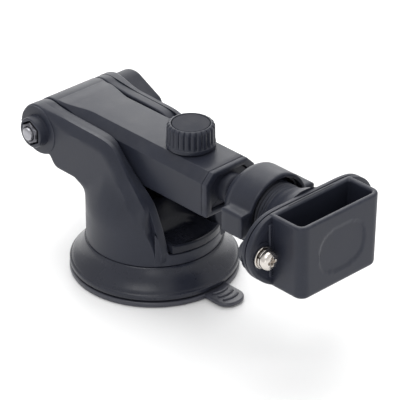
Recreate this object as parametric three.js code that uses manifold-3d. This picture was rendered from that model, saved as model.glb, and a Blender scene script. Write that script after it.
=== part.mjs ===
// A suction-cup mount for a dash camera: a cup with a locking lever, a folding telescopic arm, a ball joint
// with a lock nut, and an open-topped holder.
// Millimetres, +Z up.  The origin is the centre of the cup's underside.  The folded arm runs along +X,
// from the pivot behind the body to the holder in front of it.  The near side is -Y, the far side is +Y.

import * as THREE from 'three';
import { mergeVertices } from 'three/addons/utils/BufferGeometryUtils.js';
import Module from 'manifold-3d';

const wasm = await Module();
wasm.setup();

// ---------------------------------------------------------------------------------------------------------
// Driving dimensions
// ---------------------------------------------------------------------------------------------------------

const GAP = 0.3;

const CUP = { radius: 35.1, lip: 2.2, crown: 4.1 };
const TAB = { tip: 47.4, y: 2, halfWidth: 6.5, bottom: 0.5, top: 2.1, ridge: 0.8 };
const SKIRT = { radius: 35, topRadius: 28, bottom: 3, rim: 4.8, top: 14.6, wall: 1.7, plate: 13.1 };

const BODY = { radius: 28, bottom: 14.9, floor: 17.25, sill: 19.7, wall: 2.2, neckBottom: 38.6, web: 41.2 };
const CHEEK = { inner: 13.65, plate: 17.5, cover: 17.8, outer: 22, top: 61.2, tail: -36.4 };

const PIVOT = { x: -45.8, z: 52.5, ear: 11, barrel: 11, bolt: 2.9, bore: 3.2 };
const COLLAR = { radius: 6.5, out: 27 };
const PADDLE = { inner: 22.7, outer: 32, hub: 9.2, tip: 4.2, tipX: -32.5, tipZ: 51.6 };

const ARM = { half: 13.3, bottom: 45, top: 63.7, front: 42, chamfer: 4, wall: 2.1, cavityTop: 61.6 };
const CAVITY = { start: -34.3, half: ARM.half - ARM.wall };
const END_CAP = { start: 42.3, end: 44.6, half: 10.2, bottom: 47.3, top: 61.4, chamfer: 3 };
const INNER = { start: -28, end: 41, half: 8.6, bottom: 47.9, top: 58.6 };

const KNOB = { x: 22, bottom: 64.2, flange: 66, top: 74, radius: 10, grip: 9.3, flutes: 24, cap: 7.6 };
const BRAKE = { half: 4.5, pocket: 4.8, frame: 6.5, bottom: 58.9, top: 60.1 };
const NUT = { half: 3.5, pocket: 3.8, bottom: 60.45, top: 62.65 };

const BALL = { x: 60, z: 54, radius: 8.5, neck: 4, shoulder: 6.3 };
const LINER = { inner: 8.8, outer: 9.6 };
const RING = { inner: 9.9, outer: 10.8 };
const SOCKET = { inner: 11.1, outer: 13, mouth: 118, lip: 10.5, neck: 11.8, dome: 15 };
const LOCK = { start: 52, shoulder: 58, end: 71, radius: 16, inner: 13.4, rear: 9.4 };
const WING = { start: 60, tip: 19.6, below: 4.2, above: 4.9 };

const PLATE = { back: 84.9, front: 86.7 };
const HOLDER = { back: 87, front: 104.6, bottom: 37.6, top: 68.6, wall: 2.4, halfTop: 21.5, halfLow: 20.7 };
const EAR = { z: 53, front: 89, screw: 26.8 };
const PLATE_SCREW = { head: 3.9, face: 94.6, shaft: 1.95, washer: 4.5, insert: 2.9 };

const STUD = { flange: 14, bottom: 5.2, flangeTop: 6.7, post: 3.5, top: 28, pin: 24, pinRadius: 1.5 };
const CAM = { radius: 5, x: 1.22, z: 22.545, inner: 4.3, outer: 9 };
const LEVER = { bottom: 20.2, top: 23.8, start: 9, radius: 28.3, half: 13.1 };
const SPRING = { radius: 6.5, wire: 0.6, bottom: 7.7, top: 12.1, turns: 3.5 };

// ---------------------------------------------------------------------------------------------------------
// Materials
// ---------------------------------------------------------------------------------------------------------

function finish(color, roughness, metalness = 0) {
  return new THREE.MeshStandardMaterial({ color, roughness, metalness });
}

const satin = finish(0x3c3e46, 0.5);
const satinDark = finish(0x2c2e35, 0.48);
const gloss = finish(0x14161a, 0.18);
const rubber = finish(0x24262b, 0.62);
const acetal = finish(0x1c1d21, 0.4);
const fibre = finish(0x8a8578, 0.8);
const steel = finish(0xc9c5bf, 0.24, 1);
const blackSteel = finish(0x3a3b3f, 0.34, 1);
const brass = finish(0xb99a52, 0.3, 1);

// ---------------------------------------------------------------------------------------------------------
// Solids
// ---------------------------------------------------------------------------------------------------------

function signedVolume(position, index) {
  const [a, b, c] = [new THREE.Vector3(), new THREE.Vector3(), new THREE.Vector3()];
  let sum = 0;
  for (let i = 0; i < index.length; i += 3) {
    a.fromBufferAttribute(position, index[i]);
    b.fromBufferAttribute(position, index[i + 1]);
    c.fromBufferAttribute(position, index[i + 2]);
    sum += a.dot(b.cross(c)) / 6;
  }
  return sum;
}

// A three.js geometry as a closed solid: shared corners are merged and the faces turned outward.
function solid(geometry) {
  const bare = geometry.clone();
  bare.deleteAttribute('normal');
  bare.deleteAttribute('uv');
  const merged = mergeVertices(bare, 1e-4);
  const faces = [];
  for (let i = 0; i < merged.index.count; i += 3) {
    const face = [0, 1, 2].map((k) => merged.index.getX(i + k));
    if (new Set(face).size === 3) faces.push(face);
  }
  const position = merged.getAttribute('position');
  const outward = signedVolume(position, faces.flat()) > 0;
  const triVerts = Uint32Array.from(faces.flatMap((face) => (outward ? face : face.toReversed())));
  const vertProperties = Float32Array.from(position.array);
  return new wasm.Manifold(new wasm.Mesh({ numProp: 3, vertProperties, triVerts }));
}

function union(...bodies) {
  return bodies.reduce((sum, body) => sum.add(body));
}

function cut(body, ...tools) {
  return tools.reduce((rest, tool) => rest.subtract(tool), body);
}

function block([x0, x1], [y0, y1], [z0, z1]) {
  const geometry = new THREE.BoxGeometry(x1 - x0, y1 - y0, z1 - z0);
  return solid(geometry.translate((x0 + x1) / 2, (y0 + y1) / 2, (z0 + z1) / 2));
}

const X = new THREE.Vector3(1, 0, 0);
const Y = new THREE.Vector3(0, 1, 0);
const Z = new THREE.Vector3(0, 0, 1);

// Where an extrusion's own x, y and depth go for each direction that it can run in.
const EXTRUDE_FRAME = { x: [Y, Z, X], y: [Z, X, Y], z: [X, Y, Z] };

// An outline extruded along an axis.  Its points are (y, z) along x, (x, z) along y and (x, y) along z.
function prism(axis, outline, from, to, bevel = 0) {
  const points = outline.map(([a, b]) => (axis === 'y' ? new THREE.Vector2(b, a) : new THREE.Vector2(a, b)));
  const geometry = new THREE.ExtrudeGeometry(new THREE.Shape(points), {
    depth: to - from - 2 * bevel,
    bevelEnabled: bevel > 0,
    bevelThickness: bevel,
    bevelSize: bevel,
    bevelOffset: -bevel,
    bevelSegments: 1,
  });
  const frame = EXTRUDE_FRAME[axis];
  geometry.applyMatrix4(new THREE.Matrix4().makeBasis(...frame));
  geometry.translate(...frame[2].clone().multiplyScalar(from + bevel).toArray());
  return solid(geometry);
}

// A profile of (distance along the axis, radius) points turned about an axis through a centre point.
function turned(axis, profile, centre = [0, 0, 0], segments = 32) {
  const points = profile.map(([along, radius]) => new THREE.Vector2(radius, along));
  const geometry = new THREE.LatheGeometry([...points, points[0]], segments);
  const along = { x: X, y: Y, z: Z }[axis];
  const across = axis === 'x' ? Y : X;
  geometry.applyMatrix4(new THREE.Matrix4().makeBasis(across, along, across.clone().cross(along)));
  return solid(geometry.translate(...centre));
}

function rod(axis, radius, from, to, centre = [0, 0, 0], segments = 20) {
  return turned(axis, [[from, 0], [from, radius], [to, radius], [to, 0]], centre, segments);
}

function arc(cx, cy, radius, start, end, steps) {
  return Array.from({ length: steps + 1 }, (_, i) => {
    const angle = THREE.MathUtils.degToRad(start + ((end - start) * i) / steps);
    return [cx + radius * Math.cos(angle), cy + radius * Math.sin(angle)];
  });
}

function hexagon(axis, corner, from, to, centre) {
  return rod(axis, corner, from, to, centre, 6);
}

const object = new THREE.Group();
object.name = 'dash_camera_mount';

function add(name, body, material) {
  const { vertProperties, triVerts } = body.getMesh();
  const geometry = new THREE.BufferGeometry();
  geometry.setAttribute('position', new THREE.BufferAttribute(vertProperties, 3));
  geometry.setIndex(new THREE.BufferAttribute(triVerts, 1));
  geometry.computeVertexNormals();
  const mesh = new THREE.Mesh(geometry, material);
  mesh.name = name;
  object.add(mesh);
}

// The same piece on the near side (-1) and on the far side (+1).
const SIDES = [['near', -1], ['far', 1]];

function span(side, inner, outer) {
  return side < 0 ? [-outer, -inner] : [inner, outer];
}

// ---------------------------------------------------------------------------------------------------------
// Suction cup, skirt and the stud that pulls the cup
// ---------------------------------------------------------------------------------------------------------

function suctionCup() {
  const disc = turned('z', [
    [0, 0],
    [0, CUP.radius - 0.4],
    [0.5, CUP.radius],
    [CUP.lip - 0.4, CUP.radius],
    [CUP.lip, CUP.radius - 0.5],
    [2.6, 20],
    [CUP.crown, 8],
    [CUP.crown, 0],
  ], [0, 0, 0], 48);
  const tip = TAB.tip - TAB.halfWidth;
  const round = arc(tip, TAB.y, TAB.halfWidth, -90, 90, 10);
  const outline = [[30, TAB.y - TAB.halfWidth], ...round, [30, TAB.y + TAB.halfWidth]];
  const tab = prism('z', outline, TAB.bottom, TAB.top);
  const ridges = [37.6, 40.4, 43.2].map((x) => (
    block([x, x + 1.1], [TAB.y - 3.6, TAB.y + 3.6], [TAB.top - 0.2, TAB.top + TAB.ridge])
  ));
  return union(disc, tab, ...ridges);
}

function cupSkirt() {
  const { radius, topRadius, bottom, rim, top, wall, plate } = SKIRT;
  const shell = turned('z', [
    [bottom, radius - wall],
    [bottom, radius - 0.4],
    [bottom + 0.4, radius],
    [rim, radius],
    [top, topRadius],
    [top, STUD.post + 0.5],
    [plate, STUD.post + 0.5],
    [plate, topRadius - wall],
    [rim, radius - wall - 0.4],
  ], [0, 0, 0], 48);
  return cut(shell, ...SKIRT_SCREWS.map(([x, y]) => rod('z', 1.6, plate - 1, top + 1, [x, y, 0], 12)));
}

const SKIRT_SCREWS = [[-19, 0], [12, -10.5], [12, 10.5]];

function skirtScrew([x, y]) {
  const head = SKIRT.plate - GAP;
  const body = turned('z', [
    [head - 1.6, 0],
    [head - 1.6, 2],
    [head - 1, 2.8],
    [head, 2.8],
    [head, 1.3],
    [17, 1.3],
    [17, 0],
  ], [x, y, 0], 12);
  return cut(body, ...crossRecess('z', [x, y, head - 1.6], 1.2, 0.4, 1));
}

// Two slots that make the drive recess of a screw head, cut from the face at a point into +axis.
function crossRecess(axis, [x, y, z], reach, half, depth) {
  const into = [-1, depth];
  if (axis === 'z') {
    return [
      block([x - reach, x + reach], [y - half, y + half], into.map((d) => z + d)),
      block([x - half, x + half], [y - reach, y + reach], into.map((d) => z + d)),
    ];
  }
  const back = into.map((d) => x - d).reverse();
  return [
    block(back, [y - reach, y + reach], [z - half, z + half]),
    block(back, [y - half, y + half], [z - reach, z + reach]),
  ];
}

function cupStud() {
  const body = turned('z', [
    [STUD.bottom, 0],
    [STUD.bottom, STUD.flange],
    [STUD.flangeTop, STUD.flange],
    [STUD.flangeTop, STUD.post],
    [STUD.top - 1, STUD.post],
    [STUD.top, STUD.post - 1],
    [STUD.top, 0],
  ], [0, 0, 0], 32);
  return cut(body, rod('y', STUD.pinRadius + GAP, -5, 5, [0, 0, STUD.pin], 16));
}

// A wire along a helix, as a hexagonal section swept along the curve.
class Helix extends THREE.Curve {
  getPoint(t, target = new THREE.Vector3()) {
    const angle = 2 * Math.PI * SPRING.turns * t;
    const height = SPRING.bottom + (SPRING.top - SPRING.bottom) * t;
    return target.set(SPRING.radius * Math.cos(angle), SPRING.radius * Math.sin(angle), height);
  }
}

function cupSpring() {
  const section = arc(0, 0, SPRING.wire, 0, 300, 5).map(([a, b]) => new THREE.Vector2(a, b));
  const options = { steps: 42, bevelEnabled: false, extrudePath: new Helix() };
  return solid(new THREE.ExtrudeGeometry(new THREE.Shape(section), options));
}

add('suction_cup', suctionCup(), rubber);
add('cup_skirt', cupSkirt(), satinDark);
SKIRT_SCREWS.forEach((place, i) => add(`skirt_screw_${i + 1}`, skirtScrew(place), steel));
add('cup_stud', cupStud(), acetal);
add('cup_spring', cupSpring(), steel);

// ---------------------------------------------------------------------------------------------------------
// Locking lever: lifting it turns two off-centre cams over the floor of the body and lets the stud down
// ---------------------------------------------------------------------------------------------------------

function lockLever() {
  const { bottom, top, start, radius, half } = LEVER;
  const plate = rod('z', radius, bottom, top, [0, 0, 0], 48)
    .intersect(block([start, radius + 1], [-half, half], [bottom - 1, top + 1]));
  const dish = rod('y', 26, -half + 1.6, half - 1.6, [18, 0, top + 24.4], 56);
  const cams = [-1, 1].flatMap((side) => {
    const [y0, y1] = span(side, CAM.inner, CAM.outer);
    return [
      rod('y', CAM.radius, y0, y1, [CAM.x, 0, CAM.z], 24),
      block([CAM.x, start + 1], [y0, y1], [bottom, top + 1]),
    ];
  });
  const pinBore = rod('y', STUD.pinRadius + GAP, -10, 10, [0, 0, STUD.pin], 16);
  return cut(union(plate.subtract(dish), ...cams), pinBore);
}

add('lock_lever', lockLever(), gloss);
add('lever_pin', rod('y', STUD.pinRadius, -CAM.outer - 0.4, CAM.outer + 0.4, [0, 0, STUD.pin], 16), steel);

// ---------------------------------------------------------------------------------------------------------
// Body: a cylinder open at the front, whose side plates rise backward as two cheeks to the arm's pivot
// ---------------------------------------------------------------------------------------------------------

const earArc = arc(PIVOT.x, PIVOT.z, PIVOT.ear, 52.2, 303, 14);

// Front edge of the inner plates, from the sill of the lever bay up to the top of the neck.
const PLATE_FRONT = [
  [23.8, 20.8],
  [20.9, 29.6],
  [17.8, 36.6],
  [15.8, 40.7],
  [11, 44.5],
  [5.2, 48.6],
  [-1.3, 54.2],
  [-7.7, 58.2],
];

// Front edge of the outer covers, from the skirt up to the top of the neck.
const COVER_FRONT = [
  [21, 14.9],
  [20.4, 22.7],
  [19.5, 25.5],
  [17.7, 31],
  [17, 36],
  [16, 40],
  [12.5, 44],
  [6, 49.8],
  [0.4, 57.2],
  [-3, 60],
];

function neckOutline(front) {
  const above = front.filter(([, z]) => z > BODY.neckBottom);
  const foot = [[CHEEK.tail, BODY.neckBottom], [above[0][0], BODY.neckBottom]];
  return [...foot, ...above, [-8, CHEEK.top], ...earArc];
}

function boltBore(from, to) {
  return rod('y', PIVOT.bore, from, to, [PIVOT.x, 0, PIVOT.z], 24);
}

function baseBody() {
  const { radius, bottom, floor, sill, wall, neckBottom, web } = BODY;
  const front = PLATE_FRONT.filter(([, z]) => z < web);
  const profile = [[-30, bottom], [30, bottom], [30, sill], [24.2, sill], ...front, [15.6, web], [-30, web]];
  const drum = rod('z', radius, bottom, web, [0, 0, 0], 48)
    .intersect(prism('y', profile, -CHEEK.plate, CHEEK.plate));
  const bay = rod('z', radius - wall, floor, web + 1, [0, 0, 0], 48)
    .intersect(block([-30, 30], [-CHEEK.inner, CHEEK.inner], [floor, web + 2]));
  const mouth = block([0, 30], [-CHEEK.inner, CHEEK.inner], [sill, web + 1]);
  const webOutline = [[CHEEK.tail, neckBottom], [-20.5, neckBottom], [-20.5, web], [CHEEK.tail - 1.3, web]];
  const neck = neckOutline(PLATE_FRONT);
  const plates = SIDES.map(([, side]) => prism('y', neck, ...span(side, CHEEK.inner, CHEEK.plate)));
  const stud = rod('z', STUD.post + 0.5, bottom - 1, floor + 1, [0, 0, 0], 24);
  const holes = SKIRT_SCREWS.map(([x, y]) => rod('z', 1.6, bottom - 1, floor + 1, [x, y, 0], 12));
  const backWeb = prism('y', webOutline, -CHEEK.inner - 1, CHEEK.inner + 1);
  return cut(union(cut(drum, bay, mouth), backWeb, ...plates), stud, ...holes, boltBore(-20, 20));
}

// The drum's side swells from the flat face of the neck out to the full radius lower down.
function sideCover(side) {
  const { radius, bottom } = BODY;
  const neck = prism('y', neckOutline(COVER_FRONT), ...span(side, CHEEK.cover, CHEEK.outer));
  const swell = turned('z', [
    [bottom, 0],
    [bottom, radius],
    [28, radius],
    [33, radius - 0.9],
    [39, radius - 3],
    [45, radius - 5.4],
    [51, radius - 7],
    [51, 0],
  ], [0, 0, 0], 48);
  const lower = [[-30, bottom], ...COVER_FRONT.filter(([, z]) => z < 50), [6, 51], [-30, 51], [-30, 38.6]];
  const drumSide = swell.intersect(prism('y', lower, ...span(side, CHEEK.cover, radius + 1)));
  const disc = rod('y', 9.8, ...span(side, CHEEK.outer - 1, CHEEK.outer + 0.4), [PIVOT.x, 0, PIVOT.z], 24);
  return cut(union(neck, drumSide, disc), boltBore(...span(side, 16, 32)));
}

function nearCover() {
  const centre = [PIVOT.x, 0, PIVOT.z];
  const collar = rod('y', COLLAR.radius, -COLLAR.out, -CHEEK.outer + 1, centre, 24);
  const pocket = hexagon('y', 5.75, -COLLAR.out - 1, -CHEEK.outer, centre);
  return cut(union(sideCover(-1), collar), pocket, boltBore(-32, -16));
}

add('base_body', baseBody(), satinDark);
add('near_side_cover', nearCover(), satin);
add('far_side_cover', sideCover(1), satin);

// ---------------------------------------------------------------------------------------------------------
// Pivot: a bolt through cheeks and barrel, with a nut in the near collar and a paddle knob on the far side
// ---------------------------------------------------------------------------------------------------------

function pivotKnob() {
  const { inner, outer, hub, tip, tipX, tipZ } = PADDLE;
  const outline = [...arc(PIVOT.x, PIVOT.z, hub, 68, 290, 20), ...arc(tipX, tipZ, tip, -76, 62, 8)];
  const body = prism('y', outline, inner, outer, 1);
  const centre = [PIVOT.x, 0, PIVOT.z];
  return cut(body, hexagon('y', 5.9, inner - 1, 27.4, centre));
}

function pivotBolt() {
  const centre = [PIVOT.x, 0, PIVOT.z];
  const head = hexagon('y', 5.5, 23, 27, centre);
  return union(head, rod('y', PIVOT.bolt, -26.2, 23.2, centre, 24));
}

function pivotNut() {
  const centre = [PIVOT.x, 0, PIVOT.z];
  return hexagon('y', 5.4, -25.6, -22.3, centre).subtract(rod('y', PIVOT.bore, -30, -20, centre, 24));
}

function pivotWasher(side) {
  const [from, to] = span(side, 12.65, 13.3);
  const bore = PIVOT.bore + 0.1;
  return turned('y', [[from, bore], [from, 8.9], [to, 8.9], [to, bore]], [PIVOT.x, 0, PIVOT.z], 20);
}

add('pivot_knob', pivotKnob(), satinDark);
add('pivot_bolt', pivotBolt(), blackSteel);
add('pivot_nut', pivotNut(), blackSteel);
SIDES.forEach(([name, side]) => add(`${name}_pivot_washer`, pivotWasher(side), fibre));

// ---------------------------------------------------------------------------------------------------------
// Arm: a chamfered channel on a barrel, closed by a bottom cover and an end cap
// ---------------------------------------------------------------------------------------------------------

function chamferedSection(half, bottom, top, chamfer) {
  const right = [[half, bottom], [half, top - chamfer], [half - chamfer, top]];
  return [...right, ...right.map(([y, z]) => [-y, z]).reverse()];
}

const ARM_SCREWS = [[-31.4, -8], [-31.4, 8]];

// A square block on the slide knob's axis.
function knobBlock(half, from, to) {
  return block([KNOB.x - half, KNOB.x + half], [-half, half], [from, to]);
}

function armShell() {
  const { half, bottom, top, front, chamfer, cavityTop } = ARM;
  const centre = [PIVOT.x, 0, PIVOT.z];
  const channel = prism('x', chamferedSection(half, bottom, top, chamfer), -38, front);
  const lug = [[-46, bottom], [-37, bottom], [-35.5, 48], [-35.5, 61], [-37.4, top - 0.2], [-46, top - 0.2]];
  const shoulder = prism('y', lug, -half, half);
  const barrel = rod('y', PIVOT.barrel, -half, half, centre, 40);
  const cavity = block([CAVITY.start, front + 1], [-CAVITY.half, CAVITY.half], [bottom - 1, cavityTop]);
  const bosses = ARM_SCREWS.map(([x, y]) => rod('z', 2.4, 47.1, cavityTop + 1, [x, y, 0], 20));
  const body = union(channel, shoulder, barrel).subtract(cavity);
  return cut(
    union(body, knobBlock(BRAKE.frame, BRAKE.bottom, cavityTop + 1), ...bosses),
    knobBlock(BRAKE.pocket, 50, BRAKE.top + 0.2),
    knobBlock(NUT.pocket, 55, NUT.top + GAP),
    rod('z', 2.3, 55, top + 1, [KNOB.x, 0, 0], 16),
    ...ARM_SCREWS.map(([x, y]) => rod('z', 1.3, 47, 53.4, [x, y, 0], 12)),
    rod('y', 9.2, -half - 1, -12.35, centre, 40),
    rod('y', 9.2, 12.35, half + 1, centre, 40),
    boltBore(-20, 20),
  );
}

function armBottomCover() {
  const across = CAVITY.half - GAP;
  const plate = block([CAVITY.start + GAP, ARM.front - 0.1], [-across, across], [ARM.bottom, 46.8]);
  return cut(
    plate,
    ...ARM_SCREWS.map(([x, y]) => rod('z', 1.3, 44, 48, [x, y, 0], 16)),
    ...ARM_SCREWS.map(([x, y]) => rod('z', 2.2, 44, 46.1, [x, y, 0], 16)),
  );
}

function armScrew([x, y]) {
  const body = turned('z', [[45.1, 0], [45.1, 1.9], [45.8, 1.9], [45.8, 1], [53, 1], [53, 0]], [x, y, 0], 16);
  return cut(body, ...crossRecess('z', [x, y, 45.1], 0.9, 0.28, 0.5));
}

function armEndCap() {
  const { start, end, half, bottom, top, chamfer } = END_CAP;
  const rim = prism('x', chamferedSection(ARM.half, ARM.bottom, ARM.top, ARM.chamfer), start, end);
  const opening = prism('x', chamferedSection(half, bottom, top, chamfer), start - 1, end + 1);
  const tongues = SIDES.map(([, side]) => (
    block([38, start + 0.1], span(side, 9.7, CAVITY.half - GAP), [50, 58])
  ));
  return union(rim.subtract(opening), ...tongues);
}

function slideNut() {
  return knobBlock(NUT.half, NUT.bottom, NUT.top).subtract(rod('z', 2.3, 55, 65, [KNOB.x, 0, 0], 16));
}

add('arm_shell', armShell(), satin);
add('arm_bottom_cover', armBottomCover(), satin);
add('arm_end_cap', armEndCap(), satin);
ARM_SCREWS.forEach((place, i) => add(`arm_screw_${i + 1}`, armScrew(place), blackSteel));
add('slide_nut', slideNut(), brass);
add('brake_pad', knobBlock(BRAKE.half, BRAKE.bottom, BRAKE.top), rubber);

// ---------------------------------------------------------------------------------------------------------
// Slide knob: it drives a threaded stud down on the brake pad
// ---------------------------------------------------------------------------------------------------------

function slideKnob() {
  const { x, bottom, flange, top, radius, grip, flutes, cap } = KNOB;
  const steps = flutes * 2;
  const outline = Array.from({ length: steps }, (_, i) => {
    const angle = (2 * Math.PI * i) / steps;
    const r = i % 2 ? grip : grip - 0.8;
    return [x + r * Math.cos(angle), r * Math.sin(angle)];
  });
  const cone = turned('z', [
    [flange - 0.5, 0],
    [flange - 0.5, 9.4],
    [top - 0.9, 8.9],
    [top, 8.2],
    [top, 0],
  ], [x, 0, 0], 24);
  const skirt = rod('z', radius, bottom, flange, [x, 0, 0], 40);
  const body = union(prism('z', outline, flange - 0.5, top + 0.5).intersect(cone), skirt);
  return cut(
    body,
    rod('z', cap + GAP, top - 1.4, top + 1, [x, 0, 0], 24),
    rod('z', 4.1, 68, top, [x, 0, 0], 20),
    rod('z', 2.3, bottom - 1, top, [x, 0, 0], 16),
  );
}

function slideKnobStud() {
  const centre = [KNOB.x, 0, 0];
  return union(rod('z', 2, 60.4, 68.5, centre, 16), hexagon('z', 3.7, 68.3, 72.2, centre));
}

add('slide_knob', slideKnob(), satinDark);
add('slide_knob_cap', rod('z', KNOB.cap, KNOB.top - 1.1, KNOB.top - 0.1, [KNOB.x, 0, 0], 24), satinDark);
add('slide_knob_stud', slideKnobStud(), steel);

// ---------------------------------------------------------------------------------------------------------
// Inner arm with its stop and the ball stud
// ---------------------------------------------------------------------------------------------------------

function innerArm() {
  const { start, end, half, bottom, top } = INNER;
  const bar = block([start, end], [-half, half], [bottom, top]);
  const grooves = SIDES.map(([, side]) => (
    block([start - 1, end - 6], span(side, half - 2, half + 1), [51.4, 55.4])
  ));
  return cut(
    bar,
    ...grooves,
    rod('x', 3.3, 32.6, end + 1, [0, 0, BALL.z], 20),
    rod('z', 1.8, 54.6, top + 1, [start + 1.9, 0, 0], 16),
  );
}

function innerArmStop() {
  const { start, top } = INNER;
  const bar = block([start, start + 3], [-6, 6], [top + GAP, top + 2.2]);
  return bar.add(rod('z', 1.1, 55, top + 1, [start + 1.5, 0, 0], 12));
}

function ballStud() {
  const { x, z, radius, neck, shoulder } = BALL;
  const root = INNER.end + GAP;
  const ball = arc(x, 0, radius, 180 - 28, 0, 9).slice(0, -1);
  return turned('x', [
    [33, 0],
    [33, 3],
    [root, 3],
    [root, shoulder],
    [47, shoulder],
    [47.8, shoulder - 1.1],
    [48.6, neck + 0.4],
    [49.4, neck],
    ...ball,
    [x + radius, 0],
  ], [0, 0, z], 24);
}

add('inner_arm', innerArm(), satinDark);
add('inner_arm_stop', innerArmStop(), acetal);
add('ball_stud', ballStud(), satinDark);

// ---------------------------------------------------------------------------------------------------------
// Ball joint: liner, clamp ring and socket are shells about the ball's centre, and the lock nut covers them
// ---------------------------------------------------------------------------------------------------------

function ballShell({ inner, outer }) {
  const { x, z } = BALL;
  const inside = arc(x, 0, inner, SOCKET.mouth, 14, 8);
  const outside = arc(x, 0, outer, 14, SOCKET.mouth, 8);
  return turned('x', [...inside, ...outside], [0, 0, z], 24);
}

const SOCKET_MOUTH = THREE.MathUtils.degToRad(SOCKET.mouth);

function socketPlate() {
  const { x, z } = BALL;
  const mouthX = x + SOCKET.inner * Math.cos(SOCKET_MOUTH);
  const cavity = arc(x, 0, SOCKET.inner, SOCKET.mouth, 0, 9).slice(0, -1);
  const cup = turned('x', [
    [mouthX, SOCKET.lip],
    ...cavity,
    [x + SOCKET.inner, 0],
    [PLATE.back + 0.5, 0],
    [PLATE.back + 0.5, SOCKET.dome],
    [82, SOCKET.dome - 0.5],
    [79.4, SOCKET.dome - 1.7],
    [77.6, SOCKET.neck + 0.3],
    [77.2, SOCKET.neck],
    [66.5, SOCKET.neck],
    [65.8, SOCKET.outer],
    [58.8, SOCKET.outer],
  ], [0, 0, z], 28);
  const plate = prism('x', flangeOutline(), PLATE.back, PLATE.front);
  const bosses = SIDES.map(([, side]) => (
    rod('x', 4.5, 80.5, PLATE.back + 0.5, [0, side * EAR.screw, EAR.z], 24)
  ));
  const bores = SIDES.flatMap(([, side]) => [
    rod('x', PLATE_SCREW.insert + GAP, 79, PLATE.back - 0.1, [0, side * EAR.screw, EAR.z], 20),
    rod('x', PLATE_SCREW.shaft + GAP, 79, 90, [0, side * EAR.screw, EAR.z], 16),
  ]);
  return cut(union(cup, plate, ...bosses), ...bores);
}

// The flange behind the box: flat top and bottom edges joined by arcs around the two screws.
function flangeOutline() {
  const side = [
    [19.6, 37],
    [22, 38.6],
    [26, 41.4],
    [29.6, 44.8],
    [32.4, 49.6],
    [33.6, 54.6],
    [33.2, 59.2],
    [31.4, 62.6],
    [28.4, 65.2],
    [24.8, 67.2],
    [20.4, 68.6],
  ];
  return [...side, ...side.map(([y, z]) => [-y, z]).reverse()];
}

function lockNut() {
  const { start, shoulder, end, radius, inner, rear } = LOCK;
  const { z } = BALL;
  const shell = turned('x', [
    [start, rear],
    [start, rear + 0.9],
    [shoulder, radius],
    [end, radius],
    [end, inner],
    [shoulder + 0.6, inner],
  ], [0, 0, z], 32);
  const wings = SIDES.map(([, side]) => (
    block([WING.start, end], span(side, 14.2, WING.tip), [z - WING.below, z + WING.above])
  ));
  return cut(union(shell, ...wings), rod('x', inner, shoulder + 0.6, end + 1, [0, 0, z], 32));
}

add('ball_liner', ballShell(LINER), acetal);
add('clamp_ring', ballShell(RING), acetal);
add('socket_plate', socketPlate(), satin);
add('lock_nut', lockNut(), satin);

// ---------------------------------------------------------------------------------------------------------
// Holder: an open-topped box on the flange, held by a screw through each ear
// ---------------------------------------------------------------------------------------------------------

// A slab that narrows downward, with its two front corners cut off.
function taperedSlab([x0, x1], [z0, z1], [halfLow, halfTop], corner) {
  const right = [[x0, halfTop], [x1 - corner, halfTop], [x1, halfTop - corner]];
  const plan = [...right, ...right.map(([x, y]) => [x, -y]).reverse()];
  const sides = [[-halfLow, z0], [halfLow, z0], [halfTop, z1], [-halfTop, z1]];
  return prism('z', plan, z0, z1).intersect(prism('x', sides, x0 - 1, x1 + 1));
}

function holderBox() {
  const { back, front, bottom, top, wall, halfTop, halfLow } = HOLDER;
  const flange = prism('x', flangeOutline(), back, EAR.front);
  const outside = taperedSlab([back, front], [bottom, top], [halfLow, halfTop], 1.8);
  const inside = [halfLow - wall, halfTop - wall];
  const pocket = taperedSlab([back + wall, front - wall], [bottom + wall, top + 1], inside, 0.8);
  const bore = PLATE_SCREW.shaft + GAP;
  const holes = SIDES.map(([, side]) => (
    rod('x', bore, back - 1, EAR.front + 1, [0, side * EAR.screw, EAR.z], 16)
  ));
  return cut(union(outside, flange), pocket, ...holes);
}

function plateScrew(side) {
  const y = side * EAR.screw;
  const { head, face, shaft } = PLATE_SCREW;
  const body = turned('x', [
    [81, 0],
    [81, shaft],
    [face - 2.8, shaft],
    [face - 2.8, head],
    [face - 0.9, head],
    [face, head - 1.2],
    [face, 0],
  ], [0, y, EAR.z], 16);
  return cut(body, ...crossRecess('x', [face, y, EAR.z], 1.9, 0.45, 1));
}

function ring(side, from, to, radius, bore = PLATE_SCREW.shaft + GAP) {
  const section = [[from, bore], [from, radius], [to, radius], [to, bore]];
  return turned('x', section, [0, side * EAR.screw, EAR.z], 16);
}

add('holder_box', holderBox(), satin);
SIDES.forEach(([name, side]) => {
  add(`${name}_plate_screw`, plateScrew(side), steel);
  add(`${name}_flat_washer`, ring(side, EAR.front + GAP, 90.2, PLATE_SCREW.washer), steel);
  add(`${name}_spring_washer`, ring(side, 90.4, 91.6, PLATE_SCREW.head), steel);
  add(`${name}_plate_insert`, ring(side, 80.8, PLATE.back - 0.3, PLATE_SCREW.insert), brass);
});

export default object;
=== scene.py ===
"""Builds the detailed pieces of a suction-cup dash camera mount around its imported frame."""

import math

import bmesh
import bpy
import numpy as np
from bpy.props import FloatProperty, FloatVectorProperty, IntProperty, PointerProperty
from mathutils import Matrix, Vector


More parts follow.
